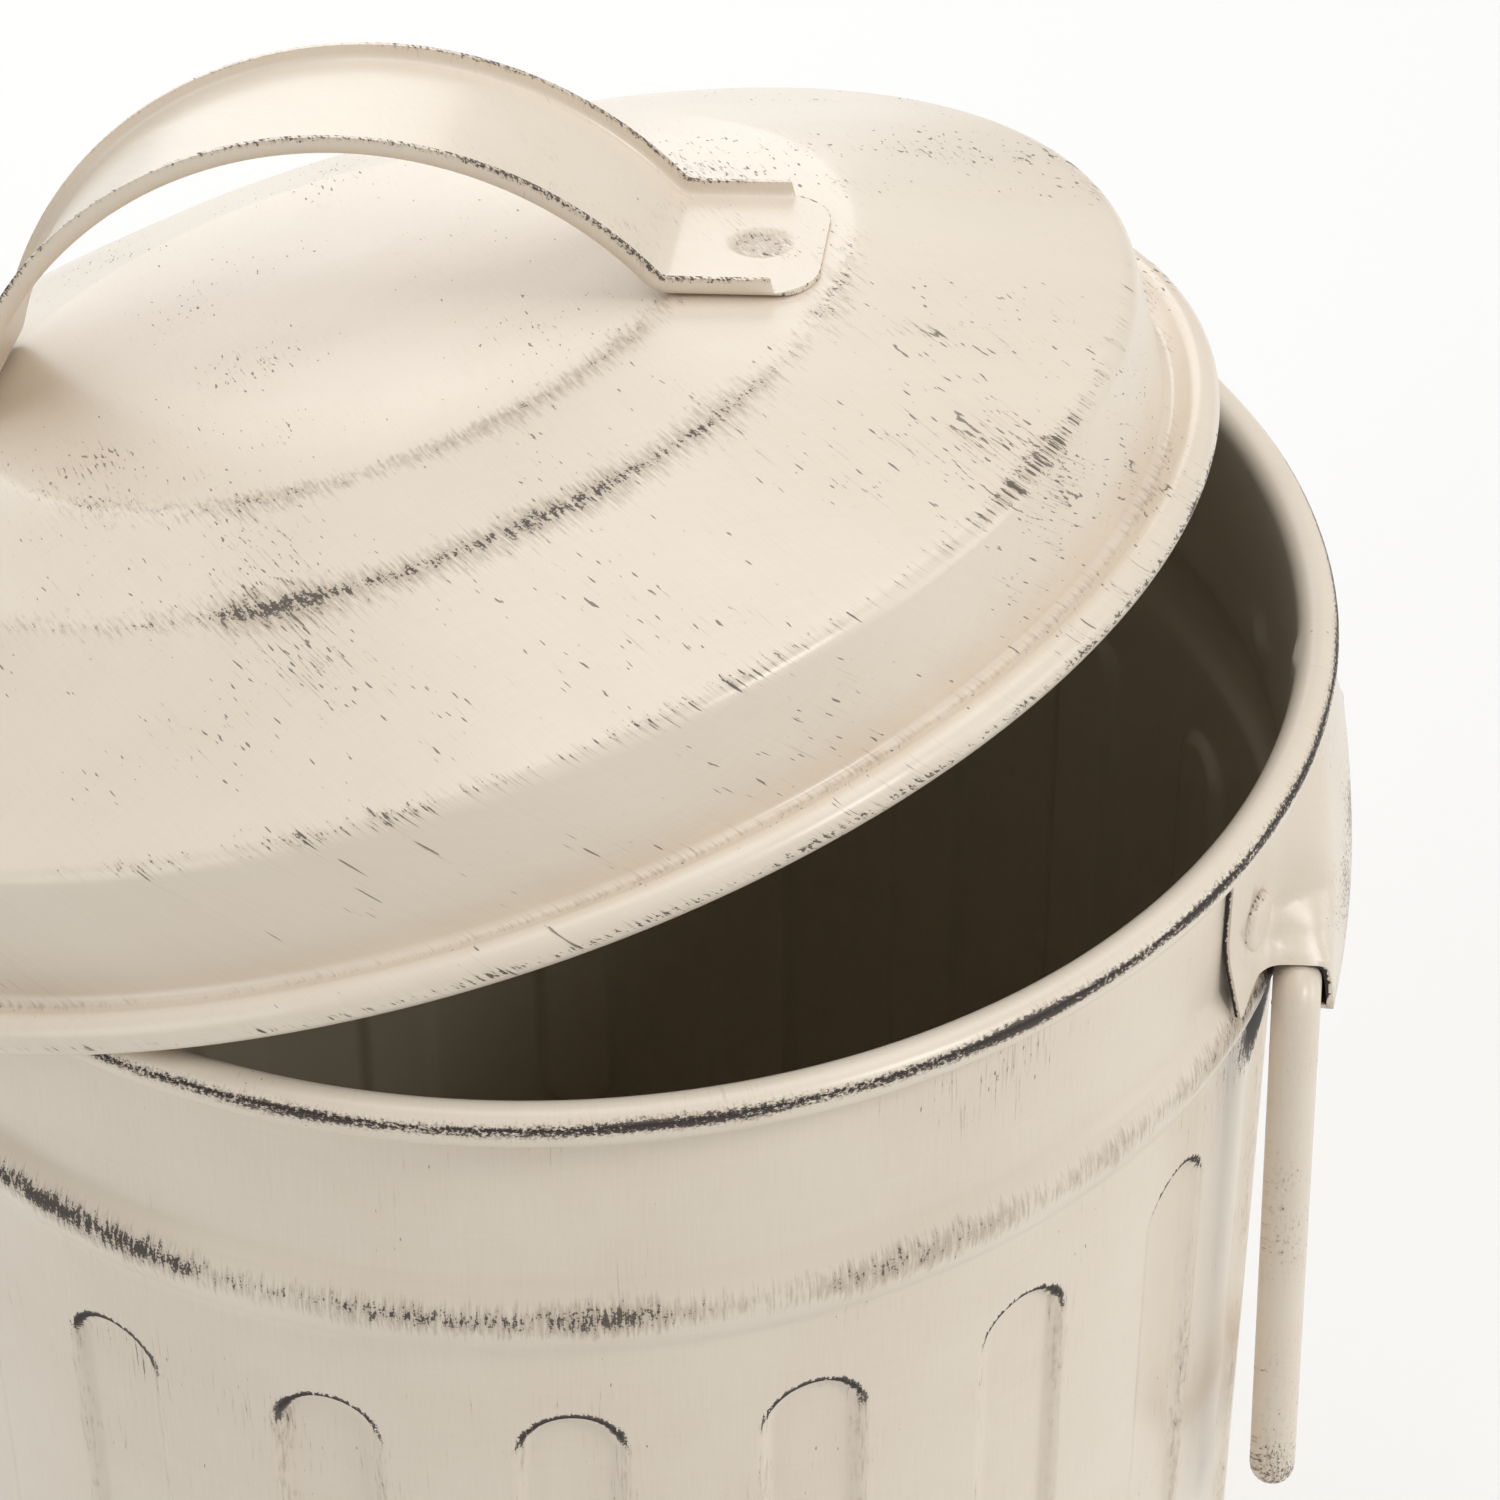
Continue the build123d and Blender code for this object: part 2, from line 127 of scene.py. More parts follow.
def filled(line, step):
    """The same line with points added on its long runs, so that wear has somewhere to sit."""
    dense = []
    for start, end in zip(line, line[1:]):
        count = max(1, round((end - start).length / step))
        dense += [start.lerp(end, i / count) for i in range(count)]
    return dense + [line[-1]]


def shifted(line, distance):
    """The line moved sideways to its left, as the skin of a sheet lies beside its middle."""
    moved = []
    for i, point in enumerate(line):
        before = line[max(i - 1, 0)]
        after = line[min(i + 1, len(line) - 1)]
        run = (after - before).normalized()
        moved.append(point + Vector((-run.y, run.x)) * distance)
    return moved


def band(line, thickness):
    """Both skins of a sheet whose middle is the line: out along the left side, back along the right."""
    return shifted(line, thickness / 2) + list(reversed(shifted(line, -thickness / 2)))


print("corners of a flat sheet's section", len(band([Vector((0, 0)), Vector((9, 0))], SHEET)))


# %% Turn a profile
def cleaned(form):
    """Merges doubled points and turns all faces outwards."""
    bmesh.ops.remove_doubles(form, verts=form.verts, dist=MERGE)
    bmesh.ops.recalc_face_normals(form, faces=form.faces)
    return form


def spun(profile, steps, closed):
    """A turned body: the profile holds (radius, height) in millimetres and spins round Z."""
    form = bmesh.new()
    verts = [form.verts.new((radius * MM, 0, height * MM)) for radius, height in profile]
    pairs = list(zip(verts, verts[1:]))
    if closed:
        pairs.append((verts[-1], verts[0]))
    edges = [form.edges.new(pair) for pair in pairs]
    bmesh.ops.spin(
        form,
        geom=verts + edges,
        cent=(0, 0, 0),
        axis=(0, 0, 1),
        angle=2 * math.pi,
        steps=steps,
        use_merge=True,
    )
    return cleaned(form)


# %% [markdown]
# ## Helpers for wear
# Wear follows the shape: it sits on crests and edges. Each piece carries three soft masks on its points:
# one for paint rubbed to metal, which also paints shade dark behind the ears' hoods and on their backs,
# one for a thin brown glaze, and inside for a darker, browner colour on the inner faces.
# Masks on points are used because they know the form, which a flat pattern does not.

# %% Soft steps
MASKS = ("edge", "rub", "inside")
# Above 1, so the painted shade behind the ears' hoods and on their backs always reaches the bare-metal colour.
PAINTED_SHADE = 1.7


def clamped(value):
    return min(max(value, 0), 1)


def eased(share):
    """0 to 1 with soft ends."""
    share = clamped(share)
    return share * share * (3 - 2 * share)


def bump(distance, width):
    """1 on the line, falling smoothly to 0 at width."""
    share = min(abs(distance) / width, 1)
    return (1 - share * share) ** 2


def outward(place, normal):
    """How far a face looks away from the axis, from -1 to 1."""
    return (normal.x * place.x + normal.y * place.y) / max(math.hypot(place.x, place.y), 1)


print("bump at half its width", bump(0.5, 1))


# %% Masks and finished pieces
def mask_points(form, reading):
    """Stores the masks that reading gives for each point, whose place it gets in millimetres."""
    layers = {mask: form.verts.layers.float.new(mask) for mask in MASKS}
    for vert in form.verts:
        values = reading(vert.co / MM, vert.normal)
        for mask, layer in layers.items():
            vert[layer] = values.get(mask, 0)


def finished(form, name, body, nodes, paint, sharp=50):
    """Turns the bmesh into a piece that rides on its body and stands for its CAD nodes."""
    mesh = bpy.data.meshes.new(name)
    form.to_mesh(mesh)
    form.free()
    mesh.shade_smooth()
    mesh.set_sharp_from_angle(angle=math.radians(sharp))
    mesh.materials.append(paint)
    piece = bpy.data.objects.new(name, mesh)
    bpy.context.scene.collection.objects.link(piece)
    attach(piece, body)
    if nodes:
        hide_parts(*nodes)
    print(name, "on", body, "faces", len(mesh.polygons))


# %% [markdown]
# ## Shader helpers
# Node trees are easier to read as sums. One class lets a socket take part in Python arithmetic,
# and one method adds any other node.


# %% A socket that can be added and multiplied
class Value:
    """A shader socket that takes part in Python arithmetic."""

    def __init__(self, shader, socket):
        self.shader = shader
        self.socket = socket

    def math(self, operation, *others):
        return self.shader.node("ShaderNodeMath", {"operation": operation}, dict(enumerate((self, *others))))

    def __add__(self, other):
        return self.math("ADD", other)

    def __sub__(self, other):
        return self.math("SUBTRACT", other)

    def __rsub__(self, other):
        return self.shader.node("ShaderNodeMath", {"operation": "SUBTRACT"}, {0: other, 1: self})

    def __mul__(self, other):
        return self.math("MULTIPLY", other)

    __radd__ = __add__
    __rmul__ = __mul__

    def ramp(self, low, high):
        """0 below low, 1 above high, smooth between."""
        settings = {"interpolation_type": "SMOOTHSTEP"}
        sockets = {"Value": self, "From Min": low, "From Max": high}
        return self.shader.node("ShaderNodeMapRange", settings, sockets)


# %% A material and its nodes
class Shader:
    """A material and the nodes in it."""

    def __init__(self, name):
        self.material = bpy.data.materials.new(name)
        self.material.use_nodes = True
        self.tree = self.material.node_tree
        self.surface = self.tree.nodes["Principled BSDF"]

    def node(self, kind, settings, sockets, output=0):
        made = self.tree.nodes.new(kind)
        for key, value in settings.items():
            setattr(made, key, value)
        for key, value in sockets.items():
            self.feed(made.inputs[key], value)
        return Value(self, made.outputs[output])

    def feed(self, socket, value):
        if isinstance(value, Value):
            self.tree.links.new(value.socket, socket)
        else:
            socket.default_value = value

    def vector(self, x, y, z):
        return self.node("ShaderNodeCombineXYZ", {}, {0: x, 1: y, 2: z})

    def noise(self, place, detail, roughness):
        sockets = {"Vector": place, "Scale": 1.0, "Detail": detail, "Roughness": roughness}
        return self.node("ShaderNodeTexNoise", {}, sockets)

    def mask(self, name):
        return self.node("ShaderNodeAttribute", {"attribute_name": name}, {}, output="Fac")

    def blend(self, share, first, second):
        return self.node("ShaderNodeMix", {"data_type": "RGBA"}, {0: share, 6: first, 7: second}, output=2)

    def axes(self, place):
        """X, Y and Z of a place in metres, as numbers in millimetres."""
        split = self.node("ShaderNodeSeparateXYZ", {}, {0: place})
        return [Value(self, socket) * (1 / MM) for socket in split.socket.node.outputs]

    def object_place(self):
        return self.node("ShaderNodeTexCoord", {}, {}, output="Object")


# %% [markdown]
# ## Which way the brush went
# The dark marks are short strokes, so the noise behind them is stretched along the brush's way.
# That way differs by piece: up and down on the drum, slantwise over the lid, and none on rod and strap.

# %% Brush directions
LID_BRUSH = math.radians(141)
RIM_PACKING = 6
RIM_FADE = 1
SLANT = (0.6, 0.8)


def upright_strokes(shader):
    """Round the drum, then up it. On the rim the pattern is packed, so that no stroke stands up."""
    x, y, z = shader.axes(shader.object_place())
    rim_start = RIM_Z - RIM_TUBE
    packed = z.ramp(rim_start - RIM_FADE, rim_start + RIM_FADE) * (z - rim_start) * RIM_PACKING
    return y.math("ARCTAN2", x) * WALL_OUT, z + packed


def lid_strokes(shader):
    """Across and along the brush, which crossed the whole lid one way."""
    location, turn, _ = lid_matrix.decompose()
    sockets = {"Vector": shader.object_place(), "Location": location, "Rotation": turn.to_euler()}
    x, y, z = shader.axes(shader.node("ShaderNodeMapping", {"vector_type": "TEXTURE"}, sockets))
    cos, sin = math.cos(LID_BRUSH), math.sin(LID_BRUSH)
    return y * cos - x * sin + z * SLANT[1], x * cos + y * sin + z * SLANT[0]


def plain_strokes(shader):
    x, y, z = shader.axes(shader.object_place())
    return x + y * SLANT[0], z + y * SLANT[1]


print("brush over the lid at", round(math.degrees(LID_BRUSH)), "degrees")


# %% [markdown]
# ## The paint
# The real finish is a satin cream coat, brushed on, with a brown glaze wiped into it and the edges rubbed
# through. It is built as layers: cream of two tones, glaze, scratches, a darker colour inside, then bare metal.
# Each kind of mark is a sum of noises and masks, cut by a soft limit, and the sums stand in one table.

# %% Colours and grain of the finish
CREAM = (0.790, 0.705, 0.590, 1)
CREAM_DEEP = (0.745, 0.650, 0.535, 1)
GLAZE = (0.330, 0.250, 0.180, 1)
# The bare-metal colour also serves as painted shade behind the ears' hoods and on their backs.
METAL_AND_SHADE = (0.036, 0.026, 0.023, 1)
INNER_TONE = (0.680, 0.600, 0.470, 1)

# Per millimetre across the brush and along it, slice of the noise, detail, roughness.
GRAINS = {
    "fine": (1.5, 1.5, 3.1, 4.0, 0.62),
    "grit": (2.4, 2.4, 7.7, 2.0, 0.60),
    "patch": (0.035, 0.035, 1.3, 2.0, 0.50),
    "hairs": (2.6, 0.5, 5.9, 3.0, 0.60),
    "cross": (0.12, 1.6, 8.4, 3.0, 0.60),
    "specks": (1.7, 0.42, 11.2, 1.0, 0.50),
}
DRAWN_OUT = ("fine", "hairs")

# What each mark is made of, and where it begins and is full.
RECIPES = {
    "bare": {"fine": 0.62, "grit": 0.38, "patch": 0.5, "edge": 0.36},
    "haze": {"fine": 0.6, "hairs": 0.4, "patch": 0.5, "rub": 0.30, "edge": 0.12},
    "dots": {"specks": 0.6, "fine": 0.4, "patch": 0.3},
    "dashes": {"hairs": 0.5, "fine": 0.5, "patch": 0.5},
    "scratch": {"hairs": 1.0, "patch": 0.7},
    "tone": {"patch": 0.5, "hairs": 0.3, "cross": 0.2},
    "relief": {"hairs": 0.16, "cross": 0.08, "fine": 0.10, "grit": 0.05},
}
LIMITS = {
    "bare": (0.985, 1.040),
    "haze": (0.91, 1.19),
    "dots": (0.925, 0.960),
    "dashes": (0.995, 1.035),
    "scratch": (1.05, 1.13),
    "tone": (0.34, 0.68),
}
EASE = {"dots": 0.09, "dashes": 0.05}
STRENGTH = {"haze": 0.55, "scratch": 0.30, "dots": 0.7, "dashes": 0.6}
THIN_BARE = 0.62
DEPTH = {"marks_and_shade": 0.30, "scratch": 0.10}
RELIEF_STRENGTH = 0.30
RELIEF_DISTANCE = 0.25 * MM
SATIN = 0.29
GRIT_ROUGHNESS = 0.10
BARE_ROUGHNESS = 0.42
COAT = 0.22
COAT_ROUGHNESS = 0.18
print("marks_and_shade", sorted(LIMITS))


# %% Mix the worn paint
def worn_paint(name, strokes, stretch, density):
    """Cream paint with glaze, worn edges, specks and brush marks; the worn-edge mask also carries painted shade.

    stretch draws the strokes out, and density brings more dots and dashes.
    """
    shader = Shader(name)
    across, along = strokes(shader)
    layers = {mask: shader.mask(mask) for mask in MASKS}
    for grain, (wide, long, layer, detail, roughness) in GRAINS.items():
        run = along * (long / stretch if grain in DRAWN_OUT else long)
        layers[grain] = shader.noise(shader.vector(across * wide, run, layer), detail, roughness)

    def mixed(mark):
        total, *others = (layers[part] * share for part, share in RECIPES[mark].items())
        for other in others:
            total = total + other
        return total

    def marked(mark):
        ease = density * EASE.get(mark, 0)
        low, high = LIMITS[mark]
        return mixed(mark).ramp(low - ease, high - ease)

    inside = layers["inside"]
    scratch = marked("scratch")
    # Bare metal, which also holds the painted shade behind the ears' hoods.
    bare = marked("bare") * (THIN_BARE + layers["edge"] * (1 - THIN_BARE))
    dots, dashes = (marked(mark) * STRENGTH[mark] for mark in ("dots", "dashes"))
    marks_and_shade = bare.math("MAXIMUM", dots).math("MAXIMUM", dashes)

    colour = shader.blend(marked("tone"), CREAM, CREAM_DEEP)
    colour = shader.blend(marked("haze") * STRENGTH["haze"], colour, GLAZE)
    colour = shader.blend(scratch * STRENGTH["scratch"], colour, GLAZE)
    colour = shader.blend(inside, colour, INNER_TONE)
    colour = shader.blend(marks_and_shade * (1 - inside), colour, METAL_AND_SHADE)

    relief = mixed("relief") - marks_and_shade * DEPTH["marks_and_shade"] - scratch * DEPTH["scratch"]
    sockets = {"Strength": RELIEF_STRENGTH, "Distance": RELIEF_DISTANCE, "Height": relief}
    inputs = shader.surface.inputs
    shader.feed(inputs["Base Color"], colour)
    shader.feed(inputs["Roughness"], SATIN + layers["grit"] * GRIT_ROUGHNESS + marks_and_shade * BARE_ROUGHNESS)
    shader.feed(inputs["Normal"], shader.node("ShaderNodeBump", {}, sockets))
    shader.feed(inputs["Coat Weight"], COAT * (1 - marks_and_shade))
    shader.feed(inputs["Coat Roughness"], COAT_ROUGHNESS)
    return shader.material


drum_paint = worn_paint("worn_cream_drum", upright_strokes, stretch=5.0, density=0.75)
lid_paint = worn_paint("worn_cream_lid", lid_strokes, stretch=3.8, density=1.35)
small_paint = worn_paint("worn_cream_small", plain_strokes, stretch=1.6, density=0.6)
print("paints", drum_paint.name, lid_paint.name, small_paint.name)

# %% [markdown]
# ## The drum
# The real drum is rolled from flat sheet and run through ribbing and fluting wheels, so every form has soft
# shoulders. It could be drawn as a cylinder with bumps, but a spin of its own section gives the ribs and the
# curled rim at once. Its rows crowd together where a rib or the end of a flute bends the wall.

# %% Rib section
RIB_RISE = 3.1
RIB_ARC = 11.1
RIB_BLEND = 4.0


def rib_rise(height):
    """How far the wall stands out at this height: a round crest run into the wall by two fillets."""
    for middle in (LOWER_RIB, UPPER_RIB):
        away = abs(height - middle)
        foot = math.sqrt((RIB_ARC + RIB_BLEND) ** 2 - (RIB_ARC + RIB_BLEND - RIB_RISE) ** 2)
        join = foot * RIB_ARC / (RIB_ARC + RIB_BLEND)
        if away <= join:
            return RIB_RISE - RIB_ARC + math.sqrt(RIB_ARC**2 - away**2)
        if away < foot:
            return RIB_BLEND - math.sqrt(RIB_BLEND**2 - (away - foot) ** 2)
    return 0


print("a rib's crest rises", round(rib_rise(LOWER_RIB), 2))


# %% Rows of the wall
FLUTE_COUNT = 20
FLUTE_PITCH = 360 / FLUTE_COUNT
FLUTE_HALF = 7.2
FLUTE_TOP = RIM_Z - 63.2
FLUTE_BOTTOM = 64.7
FLUTE_MARGIN = 2
END_ZONE = FLUTE_HALF + FLUTE_MARGIN
RIB_ZONE = 9.4
PAN_TOP = 0.8
FLANGE = 2.1

# Where each run of rows starts, and the size of its steps. The last run ends at the rim.
ROW_RUNS = [
    (PAN_TOP + SHEET, 10),
    (LOWER_RIB - RIB_ZONE, 1.4),
    (LOWER_RIB + RIB_ZONE, 6),
    (FLUTE_BOTTOM - FLUTE_MARGIN, 0.75),
    (FLUTE_BOTTOM + END_ZONE, 12),
    (FLUTE_TOP - END_ZONE, 0.55),
    (FLUTE_TOP + FLUTE_MARGIN, 4),
    (UPPER_RIB - RIB_ZONE, 1.2),
    (UPPER_RIB + RIB_ZONE, 2.5),
    (RIM_Z, 0),
]
rows = []
for (low, step), (high, _) in zip(ROW_RUNS, ROW_RUNS[1:]):
    rows += spaced(low, high, step)
print("rows of the wall", len(rows))

# %% Spin the drum
COLUMNS_FLUTE = 20
COLUMNS_LAND = 6
COLUMNS = COLUMNS_FLUTE + COLUMNS_LAND
RIM_CURL_END = -125
RIM_START = 180

outer_skin = [(WALL_OUT + rib_rise(height), height) for height in rows]
inner_skin = [(WALL_OUT - SHEET + rib_rise(height), height) for height in reversed(rows)]
rim = (RIM_RADIUS, RIM_Z)
curl = arc(rim, RIM_TUBE - SHEET, RIM_START, RIM_CURL_END) + arc(rim, RIM_TUBE, RIM_CURL_END, RIM_START)
hem = [(WALL_OUT - SHEET, PAN_TOP), (WALL_OUT + FLANGE, PAN_TOP), (WALL_OUT + FLANGE, PAN_TOP + SHEET)]
drum_form = spun(outer_skin + curl + inner_skin + hem, FLUTE_COUNT * COLUMNS, True)
print("drum points", len(drum_form.verts))

# %% [markdown]
# ## The flutes
# A flute is a long round-ended dent, pressed by a roller, with soft shoulders and no sharp line.
# The wall's points are moved inwards by their distance from the flute's outline, so one rule makes
# the sides and both ends. The columns are first crowded onto the flutes, where the wall bends.
# The same pass raises the drum's side seam and the small bumps behind the ears' fixings.

# %% Press the flutes
FLUTE_DEPTH = 1.7
FLUTE_WALL = 2.2
FLUTE_ZONE = 9.0
DIMPLE_BUMP = 1.5
SEAM_ANGLE = -1
SEAM_RISE = 0.8
SEAM_HALF = 4
TOUCH = 0.01


def crowded(angle):
    """Moves an even column to where it is needed: most columns fall on the flutes."""
    index, share = divmod(angle / FLUTE_PITCH, 1)
    land = COLUMNS_LAND / 2 / COLUMNS
    zone = FLUTE_ZONE / FLUTE_PITCH
    land_width = (1 - zone) / 2
    if share < land:
        moved = share / land * land_width
    elif share > 1 - land:
        moved = 1 - (1 - share) / land * land_width
    else:
        moved = land_width + (share - land) / (1 - 2 * land) * zone
    return (index + moved) * FLUTE_PITCH


def flute_distance(angle, height, radius):
    """Distance from the middle of a flute's wall, negative inside the flute."""
    share = (angle / FLUTE_PITCH) % 1 - 0.5
    aside = math.radians(share * FLUTE_PITCH) * radius
    past = max(FLUTE_BOTTOM + FLUTE_HALF - height, height - FLUTE_TOP + FLUTE_HALF, 0)
    return math.hypot(aside, past) - FLUTE_HALF


def half_turned(angle):
    """The angle from the nearer ear's middle, as both ears are alike."""
    return (angle + 90) % 180 - 90


def pressed_radius(radius, angle, height):
    """The wall's radius once flutes, fixings and seam are pressed."""
    if radius >= WALL_OUT + TOUCH:
        return radius
    radius -= FLUTE_DEPTH * eased(0.5 - flute_distance(angle, height, radius) / FLUTE_WALL)
    if radius < WALL_OUT - SHEET / 2:
        near = min(abs(half_turned(angle + turn)) for turn in (-DIMPLE_ANGLE, DIMPLE_ANGLE))
        aside = math.radians((angle - SEAM_ANGLE + 180) % 360 - 180) * WALL_OUT
        away = math.hypot(math.radians(near) * radius, height - DIMPLE_Z)
        radius -= DIMPLE_BUMP * bump(away, DIMPLE_RADIUS) + SEAM_RISE * bump(aside, SEAM_HALF)
    return radius


for vert in drum_form.verts:
    place = vert.co / MM
    angle = crowded(math.degrees(math.atan2(place.y, place.x)) % 360)
    radius = pressed_radius(math.hypot(place.x, place.y), angle, place.z)
    turn = math.radians(angle)
    vert.co = Vector((radius * math.cos(turn), radius * math.sin(turn), place.z)) * MM
drum_form.normal_update()
print("flutes", FLUTE_COUNT, "depth", FLUTE_DEPTH)

# %% [markdown]
# ## Wear on the drum
# Paint goes first where things rub: the outside of the rim, the crests of the ribs and the upper edge of
# each flute. Inside, the colour turns darker and browner, fading in over a short way below the rim.
# Behind the ears' hoods the wall is painted dark as shade, in the bare-metal colour, deepening upwards under the
# hood.

# %% Wear on the rim and inside
RIM_WORN, RIM_WORN_HALF, RIM_RUB_HALF = 24, 33, 48
RIM_WEAR = 1.05
RIM_SKIN = 0.2
INWARD = -0.2
INNER_START, INNER_FADE, INNER_CURVE = 2, 14, 0.6


def rim_wear(place, radius):
    """Wear on the outside of the curl, or None where there is no curl."""
    tube = math.hypot(radius - RIM_RADIUS, place.z - RIM_Z)
    if tube <= RIM_TUBE - RIM_SKIN or place.z <= RIM_Z - RIM_TUBE or radius <= WALL_OUT - SHEET / 2:
        return None
    away = math.degrees(math.atan2(place.z - RIM_Z, radius - RIM_RADIUS)) - RIM_WORN
    return {"edge": RIM_WEAR * bump(away, RIM_WORN_HALF), "rub": bump(away, RIM_RUB_HALF)}


def inner_tone(place):
    return {"inside": clamped((RIM_Z - INNER_START - place.z) / INNER_FADE) ** INNER_CURVE}


# %% Wear on the wall
RIB_WORN = math.radians(-140)
RIB_WEAR, RIB_WEAR_MORE = 0.42, 0.44
RIB_WEAR_LIFT, RIB_WEAR_HALF = 1.5, 4.6
RIB_RUB_LIFT, RIB_RUB_HALF = 1, 7
FOOT_RUB_Z, FOOT_RUB_HALF = 4, 12
HOOD_SHADE, HOOD_FADE = 18, 3
HOOD_LOW, HOOD_RISE = 216, 14
EAR_TOP = RIM_Z - 4.6
FLUTE_WORN, FLUTE_WORN_HALF = 0.8, 1.6
FLUTE_RUB, FLUTE_RUB_HALF, FLUTE_RUB_WEAR = 0.5, 3, 0.6
FLUTE_SIDE_WEAR, FLUTE_TOP_WEAR, FLUTE_TOP_FADE = 0.24, 0.86, 6


def hood_painted_shade(place, angle):
    """Painted shade behind an ear's hood, as dark bare sheet, or None away from it."""
    aside = abs(half_turned(angle)) / HOOD_SHADE
    if aside >= 1 or not HOOD_LOW < place.z < EAR_TOP:
        return None
    return {"edge": PAINTED_SHADE * min((1 - aside) * HOOD_FADE, 1) * min((place.z - HOOD_LOW) / HOOD_RISE, 1)}


def rib_bump(place, lift, half):
    return max(bump(place.z - middle - lift, half) for middle in (UPPER_RIB, LOWER_RIB))


def drum_wear(place, normal):
    radius = math.hypot(place.x, place.y)
    worn_and_shaded = rim_wear(place, radius)
    if worn_and_shaded:
        return worn_and_shaded
    if outward(place, normal) < INWARD or radius < WALL_OUT - FLUTE_DEPTH - SHEET:
        return inner_tone(place)
    angle = math.degrees(math.atan2(place.y, place.x)) % 360
    # Under the ears' hoods the wall is painted dark as shade.
    worn_and_shaded = hood_painted_shade(place, angle)
    if worn_and_shaded:
        return worn_and_shaded
    more = max(math.cos(math.radians(angle) - RIB_WORN), 0)
    rib = (RIB_WEAR + RIB_WEAR_MORE * more) * rib_bump(place, RIB_WEAR_LIFT, RIB_WEAR_HALF)
    rub = max(rib_bump(place, RIB_RUB_LIFT, RIB_RUB_HALF), bump(place.z - FOOT_RUB_Z, FOOT_RUB_HALF))
    outline = flute_distance(angle, place.z, radius)
    top = clamped((place.z - FLUTE_TOP + END_ZONE) / FLUTE_TOP_FADE)
    flute = bump(outline - FLUTE_WORN, FLUTE_WORN_HALF) * (FLUTE_SIDE_WEAR + FLUTE_TOP_WEAR * top)
    flute_rub = bump(outline - FLUTE_RUB, FLUTE_RUB_HALF) * FLUTE_RUB_WEAR
    return {"edge": max(rib, flute), "rub": max(rub, flute_rub)}


mask_points(drum_form, drum_wear)
finished(drum_form, "drum_skin", "bucket", ["drum"], drum_paint)

# %% [markdown]
# ## The bottom pan
# The pan is a plain disc whose edge is folded round the drum's flange, with one pressed ring that stiffens it.
# A disc with loop cuts could be pushed into this form. A spin of its section is shorter, and it gives the fold,
# the only part that shows from outside, its true round edge.

# %% Bottom pan
PAN_SHEET = 0.7
PAN_BEND, FOLD_BEND, SEAM_BEND = 1, 0.8, 0.5
PAN_STEPS = 160
SEAM_OUT = WALL_OUT + FLANGE + FIT + PAN_SHEET
SEAM_IN = WALL_OUT + 0.15
SEAM_HEIGHT = 3.2
RING_IN, RING_OUT, RING_RISE = 88, 97, 2.4

ring_under = [(RING_IN, 0), (RING_IN + RING_RISE, RING_RISE), (RING_OUT - RING_RISE, RING_RISE), (RING_OUT, 0)]
ring_over = [(radius, height + PAN_SHEET) for radius, height in reversed(ring_under)]
fold = [(SEAM_OUT, 0), (SEAM_OUT, SEAM_HEIGHT), (SEAM_IN, SEAM_HEIGHT)]
pan_under = rounded([(0, 0)] + ring_under + fold, [PAN_BEND] * 4 + [FOLD_BEND] * 2)
pan_over = rounded(
    [(SEAM_IN, SEAM_HEIGHT - PAN_SHEET)] + ring_over + [(0, PAN_SHEET)],
    [SEAM_BEND, PAN_BEND, PAN_BEND, SEAM_BEND],
)
pan_form = spun(pan_under + pan_over, PAN_STEPS, False)

# %% Wear on the pan
FOLD_WEAR, FOLD_WORN_HALF, FOLD_RUB_HALF = 0.8, 1.5, 12
UPWARD = 0.5


def pan_wear(place, normal):
    radius = math.hypot(place.x, place.y)
    inner = 1 if normal.z > UPWARD and radius < WALL_OUT - 1 else 0
    edge = bump(radius - SEAM_OUT, FOLD_WORN_HALF) * FOLD_WEAR
    return {"edge": edge, "rub": bump(radius - SEAM_OUT, FOLD_RUB_HALF), "inside": inner}


mask_points(pan_form, pan_wear)
finished(pan_form, "base_pan_skin", "bucket", ["base_pan"], drum_paint, sharp=60)

# %% [markdown]
# ## The ears
# Each ear is one pressing: a hood that flares from under the rim, run into a flat wing at each side.
# It could be lofted here once more, but the solid has that shape already. So a merged copy of its mesh
# takes the paint, with smooth shading.
# Its lower edge and the outermost line of the hood are worn, and its back and the inside of the hood are painted
# dark as shade.

# %% Ears
EAR_BOTTOM = RIM_Z - 43.6
EAR_MERGE = 0.002 * MM
HOOD_START = WALL_OUT + 6
HOOD_OUT = 128.4
WING_SHARE = 0.35
EAR_EDGE_HALF, EAR_EDGE_WEAR = 10, 0.52
HOOD_OUT_HALF, HOOD_OUT_WEAR = 5, 0.5


def ear_wear_and_shade(place, normal):
    # Faces turned towards the drum are painted dark, as shade under the hood.
    if outward(place, normal) < INWARD:
        return {"edge": PAINTED_SHADE}
    radius = math.hypot(place.x, place.y)
    low = bump(place.z - EAR_BOTTOM, EAR_EDGE_HALF) * (1 if radius > HOOD_START else WING_SHARE)
    outermost = bump(radius - HOOD_OUT, HOOD_OUT_HALF) * HOOD_OUT_WEAR
    return {"edge": max(low * EAR_EDGE_WEAR, outermost), "rub": max(low, outermost)}


for side in ("right", "left"):
    node = f"ear_{side}"
    ear_form = bmesh.new()
    ear_form.from_mesh(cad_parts[node].data)
    bmesh.ops.remove_doubles(ear_form, verts=ear_form.verts, dist=EAR_MERGE)
    ear_form.normal_update()
    mask_points(ear_form, ear_wear_and_shade)
    finished(ear_form, f"{node}_skin", "bucket", [node], small_paint, sharp=35)

# %% [markdown]
# ## The ear fixings
# Two low domes hold each ear on the drum. They could be cut from spheres, but a short spin of a dome's
# section gives the flat top and the round edge together. Each is laid against the wing, facing outwards.

